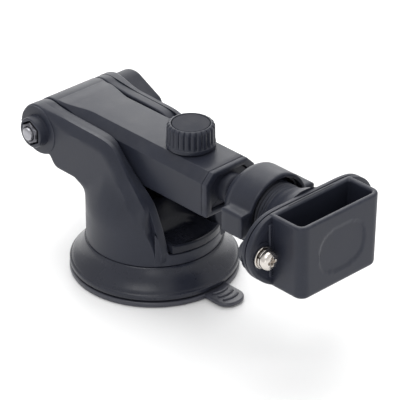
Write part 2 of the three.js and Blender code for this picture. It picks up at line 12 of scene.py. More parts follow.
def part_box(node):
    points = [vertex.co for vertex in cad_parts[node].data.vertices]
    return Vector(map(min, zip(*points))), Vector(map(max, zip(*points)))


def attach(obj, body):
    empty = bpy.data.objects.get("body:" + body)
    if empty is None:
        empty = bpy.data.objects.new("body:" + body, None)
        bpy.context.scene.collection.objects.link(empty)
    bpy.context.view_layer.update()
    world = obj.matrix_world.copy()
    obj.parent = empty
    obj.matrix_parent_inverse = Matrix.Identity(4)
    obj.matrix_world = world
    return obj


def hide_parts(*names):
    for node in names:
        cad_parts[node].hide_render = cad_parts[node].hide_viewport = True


bl_info = {
    "name": "Dash camera mount",
    "version": (1, 0, 0),
    "blender": (4, 5, 0),
    "location": "3D View > Sidebar > Mount",
    "description": "Makes the pieces, the finishes and the studio of a dash camera mount",
    "category": "Add Mesh",
}

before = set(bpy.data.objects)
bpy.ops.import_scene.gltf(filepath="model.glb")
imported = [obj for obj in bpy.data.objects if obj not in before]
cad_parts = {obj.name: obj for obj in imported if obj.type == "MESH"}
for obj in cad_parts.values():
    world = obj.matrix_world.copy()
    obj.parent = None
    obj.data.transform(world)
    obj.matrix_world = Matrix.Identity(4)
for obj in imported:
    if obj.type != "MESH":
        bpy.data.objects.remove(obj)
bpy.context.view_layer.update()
MM = 0.001


# ----------------------------------------------------------------------------------------------------------
# Places, read from the frame in millimetres
# ----------------------------------------------------------------------------------------------------------


def extent(node):
    """The lowest and highest corner of a CAD node, in millimetres."""
    low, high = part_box(node)
    return np.array(low) / MM, np.array(high) / MM


def middle(node):
    """The centre of a CAD node's box, in millimetres."""
    low, high = extent(node)
    return (low + high) / 2


PIVOT = middle("pivot_nut")
BALL = np.array([60.0, 0.0, 54.0])
KNOB = middle("slide_knob")
SIDES = (("near", -1), ("far", 1))


# ----------------------------------------------------------------------------------------------------------
# Outlines and profiles
# ----------------------------------------------------------------------------------------------------------


def rounded(corners, steps=7):
    """A closed outline from corners (a, b, radius): each corner is an arc touching both of its sides.

    The arc's centre lies on the bisector at radius / sin(half the corner's angle), and its points turn
    evenly from one touching point to the other.
    """
    c = np.asarray(corners, float)
    p, r = c[:, :2], np.maximum(c[:, 2:], 1e-3)
    back, ahead = np.roll(p, 1, 0) - p, np.roll(p, -1, 0) - p
    lengths = np.minimum(np.linalg.norm(back, axis=1), np.linalg.norm(ahead, axis=1))[:, None]
    back /= np.linalg.norm(back, axis=1, keepdims=True)
    ahead /= np.linalg.norm(ahead, axis=1, keepdims=True)
    half = np.arccos(np.clip((back * ahead).sum(1, keepdims=True), -0.99999, 0.99999)) / 2
    r = np.minimum(r, 0.49 * lengths * np.tan(half))
    middle_way = (back + ahead) / np.linalg.norm(back + ahead, axis=1, keepdims=True)
    centre = p + middle_way * r / np.sin(half)
    first = p + back * r / np.tan(half) - centre
    last = p + ahead * r / np.tan(half) - centre
    turn = (np.pi - 2 * half)[:, None]
    s = np.linspace(0, 1, steps)[None, :, None]
    arcs = (np.sin((1 - s) * turn) * first[:, None] + np.sin(s * turn) * last[:, None]) / np.sin(turn)
    return (arcs + centre[:, None]).reshape(-1, 2)


def arc(centre, radius, start, end, steps):
    """Points of a circle between two angles in degrees."""
    t = np.radians(np.linspace(start, end, steps))
    return np.stack([centre[0] + radius * np.cos(t), centre[1] + radius * np.sin(t)], -1)


def along(points, stations):
    """Points at given shares (0 to 1) of a polyline's length."""
    p = np.asarray(points, float)
    run = np.concatenate([[0], np.cumsum(np.linalg.norm(np.diff(p, axis=0), axis=1))])
    at = np.asarray(stations) * run[-1]
    return np.stack([np.interp(at, run, p[:, k]) for k in range(p.shape[1])], -1)


def finer(outline, longest):
    """A closed outline with points added on its long sides, none further apart than a length."""
    p = np.vstack([outline, outline[:1]])
    run = np.concatenate([[0], np.cumsum(np.linalg.norm(np.diff(p, axis=0), axis=1))])
    marks = np.union1d(run, np.linspace(0, run[-1], int(run[-1] / longest) + 1))
    marks = marks[np.concatenate([[True], np.diff(marks) > 1e-4 * run[-1]])]
    marks = marks[marks < run[-1] * 0.9999]
    return np.stack([np.interp(marks, run, p[:, k]) for k in (0, 1)], -1)


def inset(outline, amount):
    """A closed outline moved inward: each point shifts along the mitre of its two sides' normals."""
    side = np.roll(outline, -1, 0) - outline
    side /= np.maximum(np.linalg.norm(side, axis=1, keepdims=True), 1e-9)
    normal = np.stack([-side[:, 1], side[:, 0]], -1)
    before = np.roll(normal, 1, 0)
    mitre = (normal + before) / np.maximum(1 + (normal * before).sum(1, keepdims=True), 0.3)
    x, y = outline[:, 0], outline[:, 1]
    area = (x * np.roll(y, -1) - y * np.roll(x, -1)).sum()
    return outline + mitre * amount * np.sign(area)


def placed(axis, a, b, depth):
    """Stacks outline coordinates and depth as x, y, z for a piece that runs along an axis."""
    depth = np.broadcast_to(depth, np.shape(a))
    order = {"x": (depth, a, b), "y": (a, depth, b), "z": (a, b, depth)}[axis]
    return np.stack(order, -1)


def swept(outline, steps, axis):
    """An outline carried along an axis: row k is the outline moved in by steps[k][0] at depth steps[k][1]."""
    rows = [placed(axis, *inset(outline, amount).T, depth) for amount, depth in steps]
    return np.stack(rows)


def slab_steps(start, end, first, last, n=7):
    """Inset and depth of a slab whose two rims are quarter circles of radius first and last."""
    t = np.linspace(0, np.pi / 2, n)
    sign = np.sign(end - start)
    low = np.stack([first * (1 - np.sin(t)), start + sign * first * (1 - np.cos(t))], -1)
    high = np.stack([last * (1 - np.cos(t)), end - sign * last * (1 - np.sin(t))], -1)
    return np.vstack([[first + 0.3, start], low, high, [last + 0.3, end]])


def turned(profile, axis, centre, segments=96, flute=None):
    """A profile of (distance along, radius) rows turned about an axis.

    flute(angle, rows) gives a depth to take off the radius at each angle of each row.
    """
    p = np.asarray(profile, float)
    t = np.linspace(0, 2 * np.pi, segments, endpoint=False)
    radius = np.repeat(p[:, 1:2], segments, 1)
    if flute is not None:
        radius = radius - flute(t[None, :], p)
    a, b = radius * np.cos(t), radius * np.sin(t)
    depth = np.repeat(p[:, :1], segments, 1)
    order = {"x": (depth, a, b), "y": (a, depth, b), "z": (a, b, depth)}[axis]
    return np.stack(order, -1) + np.asarray(centre, float)


def soft_profile(corners, steps=6):
    """A turned profile with rounded corners (distance, radius, rounding); the ends stay on the axis."""
    ring = rounded(corners, steps)
    return ring[steps // 2 : len(ring) - steps // 2]


def smooth(x, low, high):
    """Rises from 0 at low to 1 at high as 3t^2 - 2t^3."""
    t = np.clip((np.asarray(x, float) - low) / (high - low), 0, 1)
    return t * t * (3 - 2 * t)


def eased(points, passes):
    """A polyline whose inner points are averaged with their neighbours, ends kept."""
    p = np.array(points, float)
    for _ in range(passes):
        p[1:-1] = 0.25 * p[:-2] + 0.5 * p[1:-1] + 0.25 * p[2:]
    return p


def distance(points, line):
    """Shortest distance from each point of a grid to a polyline, over all its segments at once."""
    a, b = line[:-1], line[1:]
    flat = points.reshape(-1, 1, 2)
    d = b - a
    t = np.clip(((flat - a) * d).sum(-1) / np.maximum((d * d).sum(-1), 1e-12), 0, 1)
    gap = np.linalg.norm(flat - (a + t[..., None] * d), axis=-1)
    return gap.min(1).reshape(points.shape[:-1])


# ----------------------------------------------------------------------------------------------------------
# Meshes
# ----------------------------------------------------------------------------------------------------------


def sheet(points, around=True, ends=True, ring=False):
    """Faces of a grid of points: closed across its rows, capped at both ends, or joined end to end."""
    n, m = points.shape[:2]
    i, j = np.meshgrid(np.arange(n if ring else n - 1), np.arange(m if around else m - 1), indexing="ij")
    i, j = i.ravel(), j.ravel()
    near, far = (j + 1) % m, (i + 1) % n
    faces = np.stack([i * m + j, i * m + near, far * m + near, far * m + j], -1).tolist()
    if ends and not ring:
        faces += [list(range(m))[::-1], list(range((n - 1) * m, n * m))]
    return points.reshape(-1, 3), faces


def mark_edges(mesh):
    """Writes the attribute edge: how sharply the surface bends outward at each corner, 1 for a 1 mm radius.

    The bend of an edge is the angle between its two faces over the distance between their centres.
    """
    count = len(mesh.polygons)
    normal, centre = np.empty(count * 3), np.empty(count * 3)
    mesh.polygons.foreach_get("normal", normal)
    mesh.polygons.foreach_get("center", centre)
    normal, centre = normal.reshape(-1, 3), centre.reshape(-1, 3)
    total = np.empty(count, int)
    mesh.polygons.foreach_get("loop_total", total)
    loop_edge = np.empty(len(mesh.loops), int)
    mesh.loops.foreach_get("edge_index", loop_edge)
    face = np.repeat(np.arange(count), total)
    order = np.argsort(loop_edge, kind="stable")
    edge, face = loop_edge[order], face[order]
    pair = np.flatnonzero(edge[:-1] == edge[1:])
    one, other = face[pair], face[pair + 1]
    gap = centre[other] - centre[one]
    angle = np.arccos(np.clip((normal[one] * normal[other]).sum(1), -1, 1))
    convex = (gap * normal[one]).sum(1) < 0
    bend = np.where(convex, angle * MM / np.maximum(np.linalg.norm(gap, axis=1), 0.25 * MM), 0)
    ends = np.empty(len(mesh.edges) * 2, int)
    mesh.edges.foreach_get("vertices", ends)
    ends = ends.reshape(-1, 2)[edge[pair]]
    value = np.zeros(len(mesh.vertices))
    np.maximum.at(value, ends[:, 0], bend)
    np.maximum.at(value, ends[:, 1], bend)
    # The finishes use this attribute to paint highlights along outward edges.
    mesh.attributes.new("edge", "FLOAT", "POINT").data.foreach_set("value", np.clip(value, 0, 1))


def make(name, sheets, body, finish, node=None, crease=32):
    """One object from closed sheets, with faces outward, that rides on a body and stands for a CAD node."""
    points, faces, offset = [], [], 0
    for corner, polygons in sheets:
        points.append(corner)
        faces += [[k + offset for k in polygon] for polygon in polygons]
        offset += len(corner)
    mesh = bpy.data.meshes.new(name)
    mesh.from_pydata((np.vstack(points) * MM).tolist(), [], faces)
    work = bmesh.new()
    work.from_mesh(mesh)
    bmesh.ops.remove_doubles(work, verts=work.verts, dist=2e-6)
    bmesh.ops.dissolve_degenerate(work, edges=work.edges, dist=1e-6)
    bmesh.ops.recalc_face_normals(work, faces=work.faces)
    work.to_mesh(mesh)
    work.free()
    mesh.shade_smooth()
    mesh.set_sharp_from_angle(angle=math.radians(crease))
    mark_edges(mesh)
    piece = bpy.data.objects.new(name, mesh)
    bpy.context.scene.collection.objects.link(piece)
    mesh.materials.append(FINISHES[finish]())
    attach(piece, body)
    if node:
        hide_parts(node)
    return piece


# ----------------------------------------------------------------------------------------------------------
# Settings
# ----------------------------------------------------------------------------------------------------------


def length(name, description, default):
    """A length setting, given in metres."""
    return FloatProperty(name=name, description=description, default=default, min=0.0, unit="LENGTH")


def power(name, description, default):
    """A light's power, in watts."""
    return FloatProperty(name=name, description=description, default=default, min=0, unit="POWER")


def angle(name, description, degrees):
    """An angle setting, given in degrees."""
    return FloatProperty(name=name, description=description, default=math.radians(degrees), subtype="ANGLE")


def colour(name, description, default):
    """A colour setting, given as linear red, green and blue."""
    limits = {"min": 0, "max": 1}
    return FloatVectorProperty(name=name, description=description, default=default, subtype="COLOR", **limits)


class MountSizes(bpy.types.PropertyGroup):
    """Sizes of the pieces that the frame leaves open."""

    cup_lip: length("Cup lip", "Thickness of the suction cup at its rim", 0.0022)
    cover_rim: length("Cover rim", "Width of the slope along the front of the side covers", 0.0038)
    cover_edge: length("Cover edge", "Rounding of the other edges of the side covers", 0.0012)
    arm_chamfer: length("Arm chamfer", "Width of the arm's top chamfers at its front end", 0.004)
    arm_edge: length("Arm edge", "Rounding of the arm's edges", 0.0006)
    flute_depth: length("Flute depth", "Depth of the flutes of the slide knob", 0.0007)
    flute_count: IntProperty(name="Flutes", description="Flutes round the slide knob", default=24, min=8)
    box_corner: length("Box corner", "Radius of the upright front corners of the holder", 0.0042)
    box_rim: length("Box rim", "Rounding of the holder's rim", 0.001)
    recess_depth: length("Recess depth", "Depth of the oval recess in the holder's front", 0.00045)
    dish_depth: length("Lever dish", "Depth of the finger dish in the locking lever", 0.0016)


class MountColours(bpy.types.PropertyGroup):
    """Colours of the finishes."""

    satin: colour("Satin plastic", "Arm, covers, nut and holder", (0.0190, 0.0215, 0.0330))
    dark: colour("Dark plastic", "Body, skirt and knobs", (0.015, 0.017, 0.027))
    gloss: colour("Gloss plastic", "Polished locking lever", (0.014, 0.0155, 0.023))
    rubber: colour("Rubber", "Suction cup and brake pad", (0.036, 0.038, 0.052))
    steel: colour("Steel", "Bright plated screws and washers", (0.66, 0.62, 0.58))
    floor: colour("Floor", "Studio floor", (0.99, 0.99, 0.99))


class StudioSettings(bpy.types.PropertyGroup):
    """Camera and lights."""

    azimuth: angle("Azimuth", "Turn of the camera round the mount", 46.61)
    elevation: angle("Elevation", "Height of the camera above the horizon", 29.81)
    distance: length("Distance", "From the camera to the point that it aims at", 1.0186)
    lens: FloatProperty(
        name="Lens",
        description="Focal length of the camera",
        default=221.9,
        min=1,
        unit="CAMERA",
    )
    aim: FloatVectorProperty(
        name="Aim",
        description="Point that the camera aims at",
        default=(0.0035, 0.0224, 0.0224),
        subtype="TRANSLATION",
    )
    key: power("Key light", "Power of the large top light", 4.6)
    fill: power("Fill light", "Power of the light above the near side", 2.0)
    rim: power("Rim light", "Power of the low light behind", 3.2)
    front: power("Front light", "Power of the low light ahead of the body", 0.25)
    sky: FloatProperty(
        name="Surroundings",
        description="Strength of the white surroundings",
        default=0.78,
        min=0,
    )


def sizes():
    """The size settings."""
    return bpy.context.scene.mount_sizes


def mm(value):
    """A length setting in millimetres."""
    return value / MM


# ----------------------------------------------------------------------------------------------------------
# Finishes
# ----------------------------------------------------------------------------------------------------------


def new_group(name, inputs, outputs):
    """An empty shader node group with named sockets (name, kind, default)."""
    group = bpy.data.node_groups.new(name, "ShaderNodeTree")
    for label, kind, default in inputs:
        socket = group.interface.new_socket(name=label, in_out="INPUT", socket_type=kind)
        socket.default_value = default
    for label, kind in outputs:
        group.interface.new_socket(name=label, in_out="OUTPUT", socket_type=kind)
    return group, group.nodes.new("NodeGroupInput"), group.nodes.new("NodeGroupOutput")


def node(tree, kind, links=None, **values):
    """Adds a node, sets its properties, and links or sets its inputs by name or number."""
    made = tree.nodes.new(kind)
    for key, value in values.items():
        setattr(made, key, value)
    for key, value in (links or {}).items():
        socket = made.inputs[key]
        if isinstance(value, bpy.types.NodeSocket):
            tree.links.new(value, socket)
        else:
            socket.default_value = value
    return made


def math_node(tree, operation, *values):
    """A Math node's output."""
    return node(tree, "ShaderNodeMath", dict(enumerate(values)), operation=operation).outputs[0]


def noise(tree, vector, scale, detail=3.0, rough=0.55):
    """A noise texture's value on a vector."""
    links = {"Vector": vector, "Scale": scale, "Detail": detail, "Roughness": rough}
    return node(tree, "ShaderNodeTexNoise", links).outputs[0]


def ramp(tree, value, low, high, bottom=0.0, top=1.0):
    """Maps a range of values smoothly onto another."""
    links = {"Value": value, "From Min": low, "From Max": high, "To Min": bottom, "To Max": top}
    return node(tree, "ShaderNodeMapRange", links, interpolation_type="SMOOTHSTEP").outputs[0]


def mix_colour(tree, factor, first, second, blend="MIX"):
    """A colour mix."""
    made = tree.nodes.new("ShaderNodeMix")
    made.data_type = "RGBA"
    made.blend_type = blend
    for key, value in ((0, factor), (6, first), (7, second)):
        if isinstance(value, bpy.types.NodeSocket):
            tree.links.new(value, made.inputs[key])
        else:
            made.inputs[key].default_value = value
    return made.outputs[2]


def grain_group():
    """Moulded grain: two sizes of fine bumps, with a broad drift of tone and polish."""
    name = "moulded grain"
    if name in bpy.data.node_groups:
        return bpy.data.node_groups[name]
    inputs = [
        ("Vector", "NodeSocketVector", (0, 0, 0)),
        ("Colour", "NodeSocketColor", (0.05, 0.05, 0.05, 1)),
        ("Roughness", "NodeSocketFloat", 0.5),
        ("Grain Scale", "NodeSocketFloat", 3000.0),
        ("Drift", "NodeSocketFloat", 0.12),
    ]
    outputs = [("Colour", "NodeSocketColor"), ("Roughness", "NodeSocketFloat"), ("Height", "NodeSocketFloat")]
    group, given, result = new_group(name, inputs, outputs)
    vector, scale = given.outputs["Vector"], given.outputs["Grain Scale"]
    fine = noise(group, vector, scale, 2.0, 0.6)
    coarse = noise(group, vector, math_node(group, "MULTIPLY", scale, 0.35), 3.0, 0.6)
    broad = noise(group, vector, 45.0, 3.0, 0.5)
    cloud = noise(group, vector, 260.0, 4.0, 0.6)
    height = math_node(group, "MULTIPLY_ADD", fine, 0.6, math_node(group, "MULTIPLY", coarse, 0.4))
    broad, cloud = ramp(group, broad, 0.3, 0.7, -0.5, 0.5), ramp(group, cloud, 0.3, 0.7, -0.3, 0.3)
    sway = math_node(group, "MULTIPLY", math_node(group, "ADD", broad, cloud), given.outputs["Drift"])
    speck = math_node(group, "MULTIPLY", math_node(group, "SUBTRACT", height, 0.5), 0.5)
    tone = math_node(group, "ADD", math_node(group, "ADD", 1.0, sway), speck)
    scaled = node(group, "ShaderNodeVectorMath", {0: given.outputs["Colour"]}, operation="SCALE")
    group.links.new(tone, scaled.inputs["Scale"])
    rough = math_node(group, "MULTIPLY_ADD", sway, 0.6, given.outputs["Roughness"])
    group.links.new(scaled.outputs[0], result.inputs["Colour"])
    group.links.new(rough, result.inputs["Roughness"])
    group.links.new(height, result.inputs["Height"])
    return group


def edge_highlight_group():
    """Painted edge highlights: outward bends are painted a little paler, standing in for highlights, and made
    smoother, broken up by a patchy noise.
    """
    name = "worn edges"
    if name in bpy.data.node_groups:
        return bpy.data.node_groups[name]
    inputs = [
        ("Vector", "NodeSocketVector", (0, 0, 0)),
        ("Edge", "NodeSocketFloat", 0.0),
        ("Colour", "NodeSocketColor", (0.05, 0.05, 0.05, 1)),
        ("Highlight Tone", "NodeSocketColor", (0.12, 0.12, 0.13, 1)),
        ("Roughness", "NodeSocketFloat", 0.5),
        ("Amount", "NodeSocketFloat", 0.3),
    ]
    outputs = [("Colour", "NodeSocketColor"), ("Roughness", "NodeSocketFloat")]
    group, given, result = new_group(name, inputs, outputs)
    patch = ramp(group, noise(group, given.outputs["Vector"], 240.0, 5.0, 0.65), 0.35, 0.68)
    # Painted highlight: sharper outward bends are painted towards the paler tone.
    bend = ramp(group, given.outputs["Edge"], 0.25, 0.9)
    mask = math_node(group, "MULTIPLY", math_node(group, "MULTIPLY", bend, patch), given.outputs["Amount"])
    tone = mix_colour(group, mask, given.outputs["Colour"], given.outputs["Highlight Tone"])
    rough = math_node(group, "MULTIPLY_ADD", mask, -0.25, given.outputs["Roughness"])
    group.links.new(tone, result.inputs["Colour"])
    group.links.new(rough, result.inputs["Roughness"])
    return group


def dust_group():
    """Handling dust: faces that look up catch a thin pale film in soft patches and tiny specks."""
    name = "handling dust"
    if name in bpy.data.node_groups:
        return bpy.data.node_groups[name]
    inputs = [
        ("Vector", "NodeSocketVector", (0, 0, 0)),
        ("Normal", "NodeSocketVector", (0, 0, 1)),
        ("Colour", "NodeSocketColor", (0.05, 0.05, 0.05, 1)),
        ("Roughness", "NodeSocketFloat", 0.5),
        ("Amount", "NodeSocketFloat", 0.1),
    ]
    outputs = [("Colour", "NodeSocketColor"), ("Roughness", "NodeSocketFloat")]
    group, given, result = new_group(name, inputs, outputs)
    up = node(group, "ShaderNodeSeparateXYZ", {0: given.outputs["Normal"]}).outputs[2]
    level = ramp(group, up, 0.3, 1.0)
    film = ramp(group, noise(group, given.outputs["Vector"], 120.0, 5.0, 0.6), 0.4, 0.75)
    speck = ramp(group, noise(group, given.outputs["Vector"], 1500.0, 2.0, 0.5), 0.72, 0.78)
    cover = math_node(group, "MULTIPLY", math_node(group, "ADD", film, speck), 0.5)
    mask = math_node(group, "MULTIPLY", math_node(group, "MULTIPLY", cover, level), given.outputs["Amount"])
    tone = mix_colour(group, mask, given.outputs["Colour"], (0.30, 0.29, 0.28, 1))
    rough = math_node(group, "MULTIPLY_ADD", mask, 0.6, given.outputs["Roughness"])
    group.links.new(tone, result.inputs["Colour"])
    group.links.new(rough, result.inputs["Roughness"])
    return group


def brushed_group():
    """Turned metal: fine rings and streaks of polish round each piece, with a faint tarnish."""
    name = "turned metal"
    if name in bpy.data.node_groups:
        return bpy.data.node_groups[name]
    inputs = [
        ("Vector", "NodeSocketVector", (0, 0, 0)),
        ("Colour", "NodeSocketColor", (0.6, 0.6, 0.6, 1)),
        ("Tarnish", "NodeSocketColor", (0.3, 0.27, 0.24, 1)),
        ("Roughness", "NodeSocketFloat", 0.25),
    ]
    outputs = [("Colour", "NodeSocketColor"), ("Roughness", "NodeSocketFloat"), ("Height", "NodeSocketFloat")]
    group, given, result = new_group(name, inputs, outputs)
    vector = given.outputs["Vector"]
    stretch = node(group, "ShaderNodeMapping", {"Vector": vector, "Scale": (6000.0, 500.0, 500.0)}).outputs[0]
    streak = noise(group, stretch, 1.0, 3.0, 0.6)
    stain = ramp(group, noise(group, vector, 420.0, 5.0, 0.65), 0.5, 0.75)
    share = math_node(group, "MULTIPLY", stain, 0.25)
    tone = mix_colour(group, share, given.outputs["Colour"], given.outputs["Tarnish"])
    sway = math_node(group, "SUBTRACT", streak, 0.5)
    rough = math_node(group, "MULTIPLY_ADD", sway, 0.25, given.outputs["Roughness"])
    rough = math_node(group, "MULTIPLY_ADD", stain, 0.08, rough)
    group.links.new(tone, result.inputs["Colour"])
    group.links.new(rough, result.inputs["Roughness"])
    group.links.new(streak, result.inputs["Height"])
    return group


def place_group(tree, group, links):
    """Puts a node group into a material's tree."""
    return node(tree, "ShaderNodeGroup", links, node_tree=group)


def blank_material(name):
    """A material with a Principled BSDF, and its tree and Object coordinates."""
    material = bpy.data.materials.new(name)
    material.use_nodes = True
    tree = material.node_tree
    shader = tree.nodes["Principled BSDF"]
    vector = tree.nodes.new("ShaderNodeTexCoord").outputs["Object"]
    return material, tree, shader, vector


def plastic(name, tone, roughness, scale, height, edge_highlight_amount=0.3, dust=0.08, specular=0.3):
    """A moulded finish: grain of a scale and height, then a painted highlight along outward edges, then dust,
    over a Principled shader.
    """
    if name in bpy.data.materials:
        return bpy.data.materials[name]
    material, tree, shader, vector = blank_material(name)
    grain = place_group(tree, grain_group(), {
        "Vector": vector,
        "Colour": (*tone, 1),
        "Roughness": roughness,
        "Grain Scale": scale,
    })
    edge = node(tree, "ShaderNodeAttribute", attribute_name="edge").outputs["Fac"]
    # Painted highlight: the paler tone that outward edges are painted towards.
    highlight_tone = tuple(min(1.0, c * 1.9 + 0.02) for c in tone) + (1,)
    highlighted = place_group(tree, edge_highlight_group(), {
        "Vector": vector,
        "Edge": edge,
        "Colour": grain.outputs["Colour"],
        "Highlight Tone": highlight_tone,
        "Roughness": grain.outputs["Roughness"],
        "Amount": edge_highlight_amount,
    })
    normal = tree.nodes.new("ShaderNodeNewGeometry").outputs["Normal"]
    dusty = place_group(tree, dust_group(), {
        "Vector": vector,
        "Normal": normal,
        "Colour": highlighted.outputs["Colour"],
        "Roughness": highlighted.outputs["Roughness"],
        "Amount": dust,
    })
    relief = {"Height": grain.outputs["Height"], "Strength": height, "Distance": 0.0001}
    bump = node(tree, "ShaderNodeBump", relief)
    tree.links.new(dusty.outputs["Colour"], shader.inputs["Base Color"])
    tree.links.new(dusty.outputs["Roughness"], shader.inputs["Roughness"])
    tree.links.new(bump.outputs[0], shader.inputs["Normal"])
    shader.inputs["Specular IOR Level"].default_value = specular
    return material


def metal(name, tone, tarnish, roughness):
    """A turned and plated metal finish."""
    if name in bpy.data.materials:
        return bpy.data.materials[name]
    material, tree, shader, vector = blank_material(name)
    links = {"Vector": vector, "Colour": (*tone, 1), "Tarnish": (*tarnish, 1), "Roughness": roughness}
    turned_look = place_group(tree, brushed_group(), links)
    relief = {"Height": turned_look.outputs["Height"], "Strength": 0.15, "Distance": 0.00005}
    bump = node(tree, "ShaderNodeBump", relief)
    tree.links.new(turned_look.outputs["Colour"], shader.inputs["Base Color"])
    tree.links.new(turned_look.outputs["Roughness"], shader.inputs["Roughness"])
    tree.links.new(bump.outputs[0], shader.inputs["Normal"])
    shader.inputs["Metallic"].default_value = 1.0
    return material


def tones():
    """The colour settings."""
    return bpy.context.scene.mount_colours


# In each plastic, the number after the grain height, where given, is the amount of painted edge highlight.
FINISHES = {
    "satin": lambda: plastic("satin plastic", tones().satin, 0.4, 3200, 0.3),
    "dark": lambda: plastic("dark plastic", tones().dark, 0.46, 3200, 0.35),
    "matt": lambda: plastic("matt plastic", tones().dark, 0.62, 3200, 0.5, edge_highlight_amount=0.2, specular=0.2),
    "skirt": lambda: plastic("skirt plastic", tones().dark, 0.26, 3600, 0.12, 0.2, 0.03, specular=0.4),
    "gloss": lambda: plastic("gloss plastic", tones().gloss, 0.24, 2500, 0.03, 0.15, 0.03, specular=0.25),
    "acetal": lambda: plastic("acetal", tones().dark, 0.38, 4000, 0.12, 0.1, 0.05),
    "rubber": lambda: plastic("rubber", tones().rubber, 0.32, 1800, 0.12, 0.1, 0.06, specular=0.6),
    "fibre": lambda: plastic("pressed fibre", (0.22, 0.2, 0.17), 0.85, 2400, 0.8, 0.1, 0.2),
    "steel": lambda: metal("bright steel", tones().steel, (0.42, 0.38, 0.33), 0.22),
    "zinc": lambda: metal("zinc plated steel", (0.36, 0.36, 0.385), (0.2, 0.19, 0.18), 0.32),
    "black_steel": lambda: metal("black steel", (0.125, 0.125, 0.14), (0.07, 0.066, 0.062), 0.3),
    "brass": lambda: metal("turned brass", (0.62, 0.44, 0.18), (0.3, 0.2, 0.09), 0.3),
}


# ----------------------------------------------------------------------------------------------------------
# Cup and skirt
# ----------------------------------------------------------------------------------------------------------


def tube(points, radius, count=12):
    """A round bar along a polyline in the x-y plane: a circle in each point's normal plane, capped."""
    p = np.asarray(points, float)
    way = np.gradient(p, axis=0)
    way /= np.linalg.norm(way, axis=1, keepdims=True)
    side = np.stack([-way[:, 1], way[:, 0], np.zeros(len(p))], -1)
    t = np.linspace(0, 2 * np.pi, count, endpoint=False)[None, :, None]
    lift = np.array([0.0, 0.0, 1.0])
    return p[:, None] + radius * (np.cos(t) * side[:, None] + np.sin(t) * lift)


def build_cup():
    """The disc is a turned profile with a rounded lip; the pull tab is a slab with three curved ridges."""
    low, high = extent("suction_cup")
    radius, crown = -low[0], 4.1
    lip = mm(sizes().cup_lip)
    disc = soft_profile([
        (0, 0, 0),
        (0, radius - 0.5, 0),
        (0.3, radius, 0.3),
        (lip, radius, 0.7),
        (2.6, 20, 1),
        (crown, 8, 1),
        (crown, 0, 0),
    ])
    outline = rounded([(29, -4.5, 0), (high[0], -4.5, 5.6), (high[0], 8.5, 5.6), (29, 8.5, 0)], 12)
    tab = swept(outline, slab_steps(0.5, 2.1, 0.3, 0.6), "z")
    ridges = []
    for place in (37.8, 40.8, 43.8):
        bow = arc((place - 9, 2), 9, -26, 26, 18)
        ends = np.column_stack([bow, np.full(len(bow), 2.15)])
        ridges.append(sheet(tube(ends, 0.62)))
    sheets = [sheet(turned(disc, "z", (0, 0, 0), 144)), sheet(tab), *ridges]
    make("cup_disc", sheets, "base", "rubber", "suction_cup")


def build_skirt():
    """A turned shell: an upright rim, a shallow groove, then a cone that hollows slightly toward the body."""
    low, high = extent("cup_skirt")
    radius, top = high[0], high[2]
    cone = along([(6.2, 33.9), (9.0, 31.2), (12.2, 29.3), (14.0, 28.75)], np.linspace(0, 1, 9))
    outside = [(low[2], radius - 0.6), (low[2] + 0.25, radius - 0.15), (low[2] + 0.7, radius)]
    outside += [(4.7, radius), (5.1, radius - 0.12), (5.4, radius - 0.45), (5.6, radius - 0.8)]
    outside += eased(cone, 2).tolist()
    outside += [(14.35, 28.55), (top, 28.1), (top, 4.0), (13.1, 4.0), (13.1, 26.3), (5.2, 32.6)]
    outside += [(low[2] + 0.4, radius - 1.8), (low[2], radius - 1.5)]
    shell = sheet(turned(outside, "z", (0, 0, 0), 160), ring=True)
    make("skirt_shell", [shell], "base", "skirt", "cup_skirt")


# ----------------------------------------------------------------------------------------------------------
# Side covers
# ----------------------------------------------------------------------------------------------------------

EAR_RADIUS = 11.0
COVER_INNER, COVER_OUTER, DRUM_RADIUS = 17.8, 22.0, 28.0


def cover_edges():
    """The rear and front edges of a side cover in the x-z plane, with the same number of points each.

    Both are polylines sampled evenly stretch by stretch, so that row k joins point k of each, then eased.
    """
    ear = (PIVOT[0], PIVOT[2])
    arcs = [arc(ear, EAR_RADIUS, a, b, 24) for a, b in ((303, 288), (288, 232), (232, 181))]
    top = arc(ear, EAR_RADIUS, 88, 179, 24)
    rear = [
        ([(-21.5, 14.9), (-21.5, 34)], 14),
        ([(-21.5, 34), (-21.8, 36.2), (-22.6, 37.7), (-24, 38.6)], 8),
        ([(-24, 38.6), (-35.2, 38.6), (-36.4, 39.1)], 14),
        (np.vstack([[(-36.4, 39.1), (-37.3, 39.9)], arcs[0]]), 12),
        (arcs[1], 22),
        (arcs[2], 24),
    ]
    front = [
        [(21, 14.9), (20.4, 22.7), (19.5, 25.5), (17.7, 31), (17.2, 34)],
        [(17.2, 34), (17, 36), (16.8, 38), (15.6, 40.6)],
        [(15.6, 40.6), (12.5, 44), (6, 49.8)],
        [(6, 49.8), (1.0, 56.0), (-3.0, 60.4), (-8, 61.5)],
        np.vstack([[(-8, 61.5), (-30, 61.9), (-40, 63.0)], top[:1]]),
        top,
    ]
    shares = [np.linspace(0, 1, n + 1)[:-1] for _, n in rear]
    back = np.vstack([along(line, s) for (line, _), s in zip(rear, shares)])
    fore = np.vstack([along(line, s) for line, s in zip(front, shares)])
    return eased(back, 2), eased(fore, 3)


def cover_face(x, z):
    """Outer face of a cover: the drum's cylinder low down blends into the flat neck higher up."""
    start = np.interp(x, [-17.3, -5], [32, 28])
    end = np.interp(x, [-17.3, -5], [39, 50])
    t = np.clip((z - start) / (end - start), 0, 1)
    flat = t * t * (3 - 2 * t)
    drum = np.sqrt(np.maximum(DRUM_RADIUS**2 - x**2, COVER_INNER**2))
    return (1 - flat) * drum + flat * COVER_OUTER


def rim_drop(gap, width, depth):
    """Quarter-ellipse rounding: how far the face drops at a distance from the edge."""
    t = 1 - np.clip(gap / width, 0, 1)
    return depth * (1 - np.sqrt(np.maximum(1 - t * t, 0)))


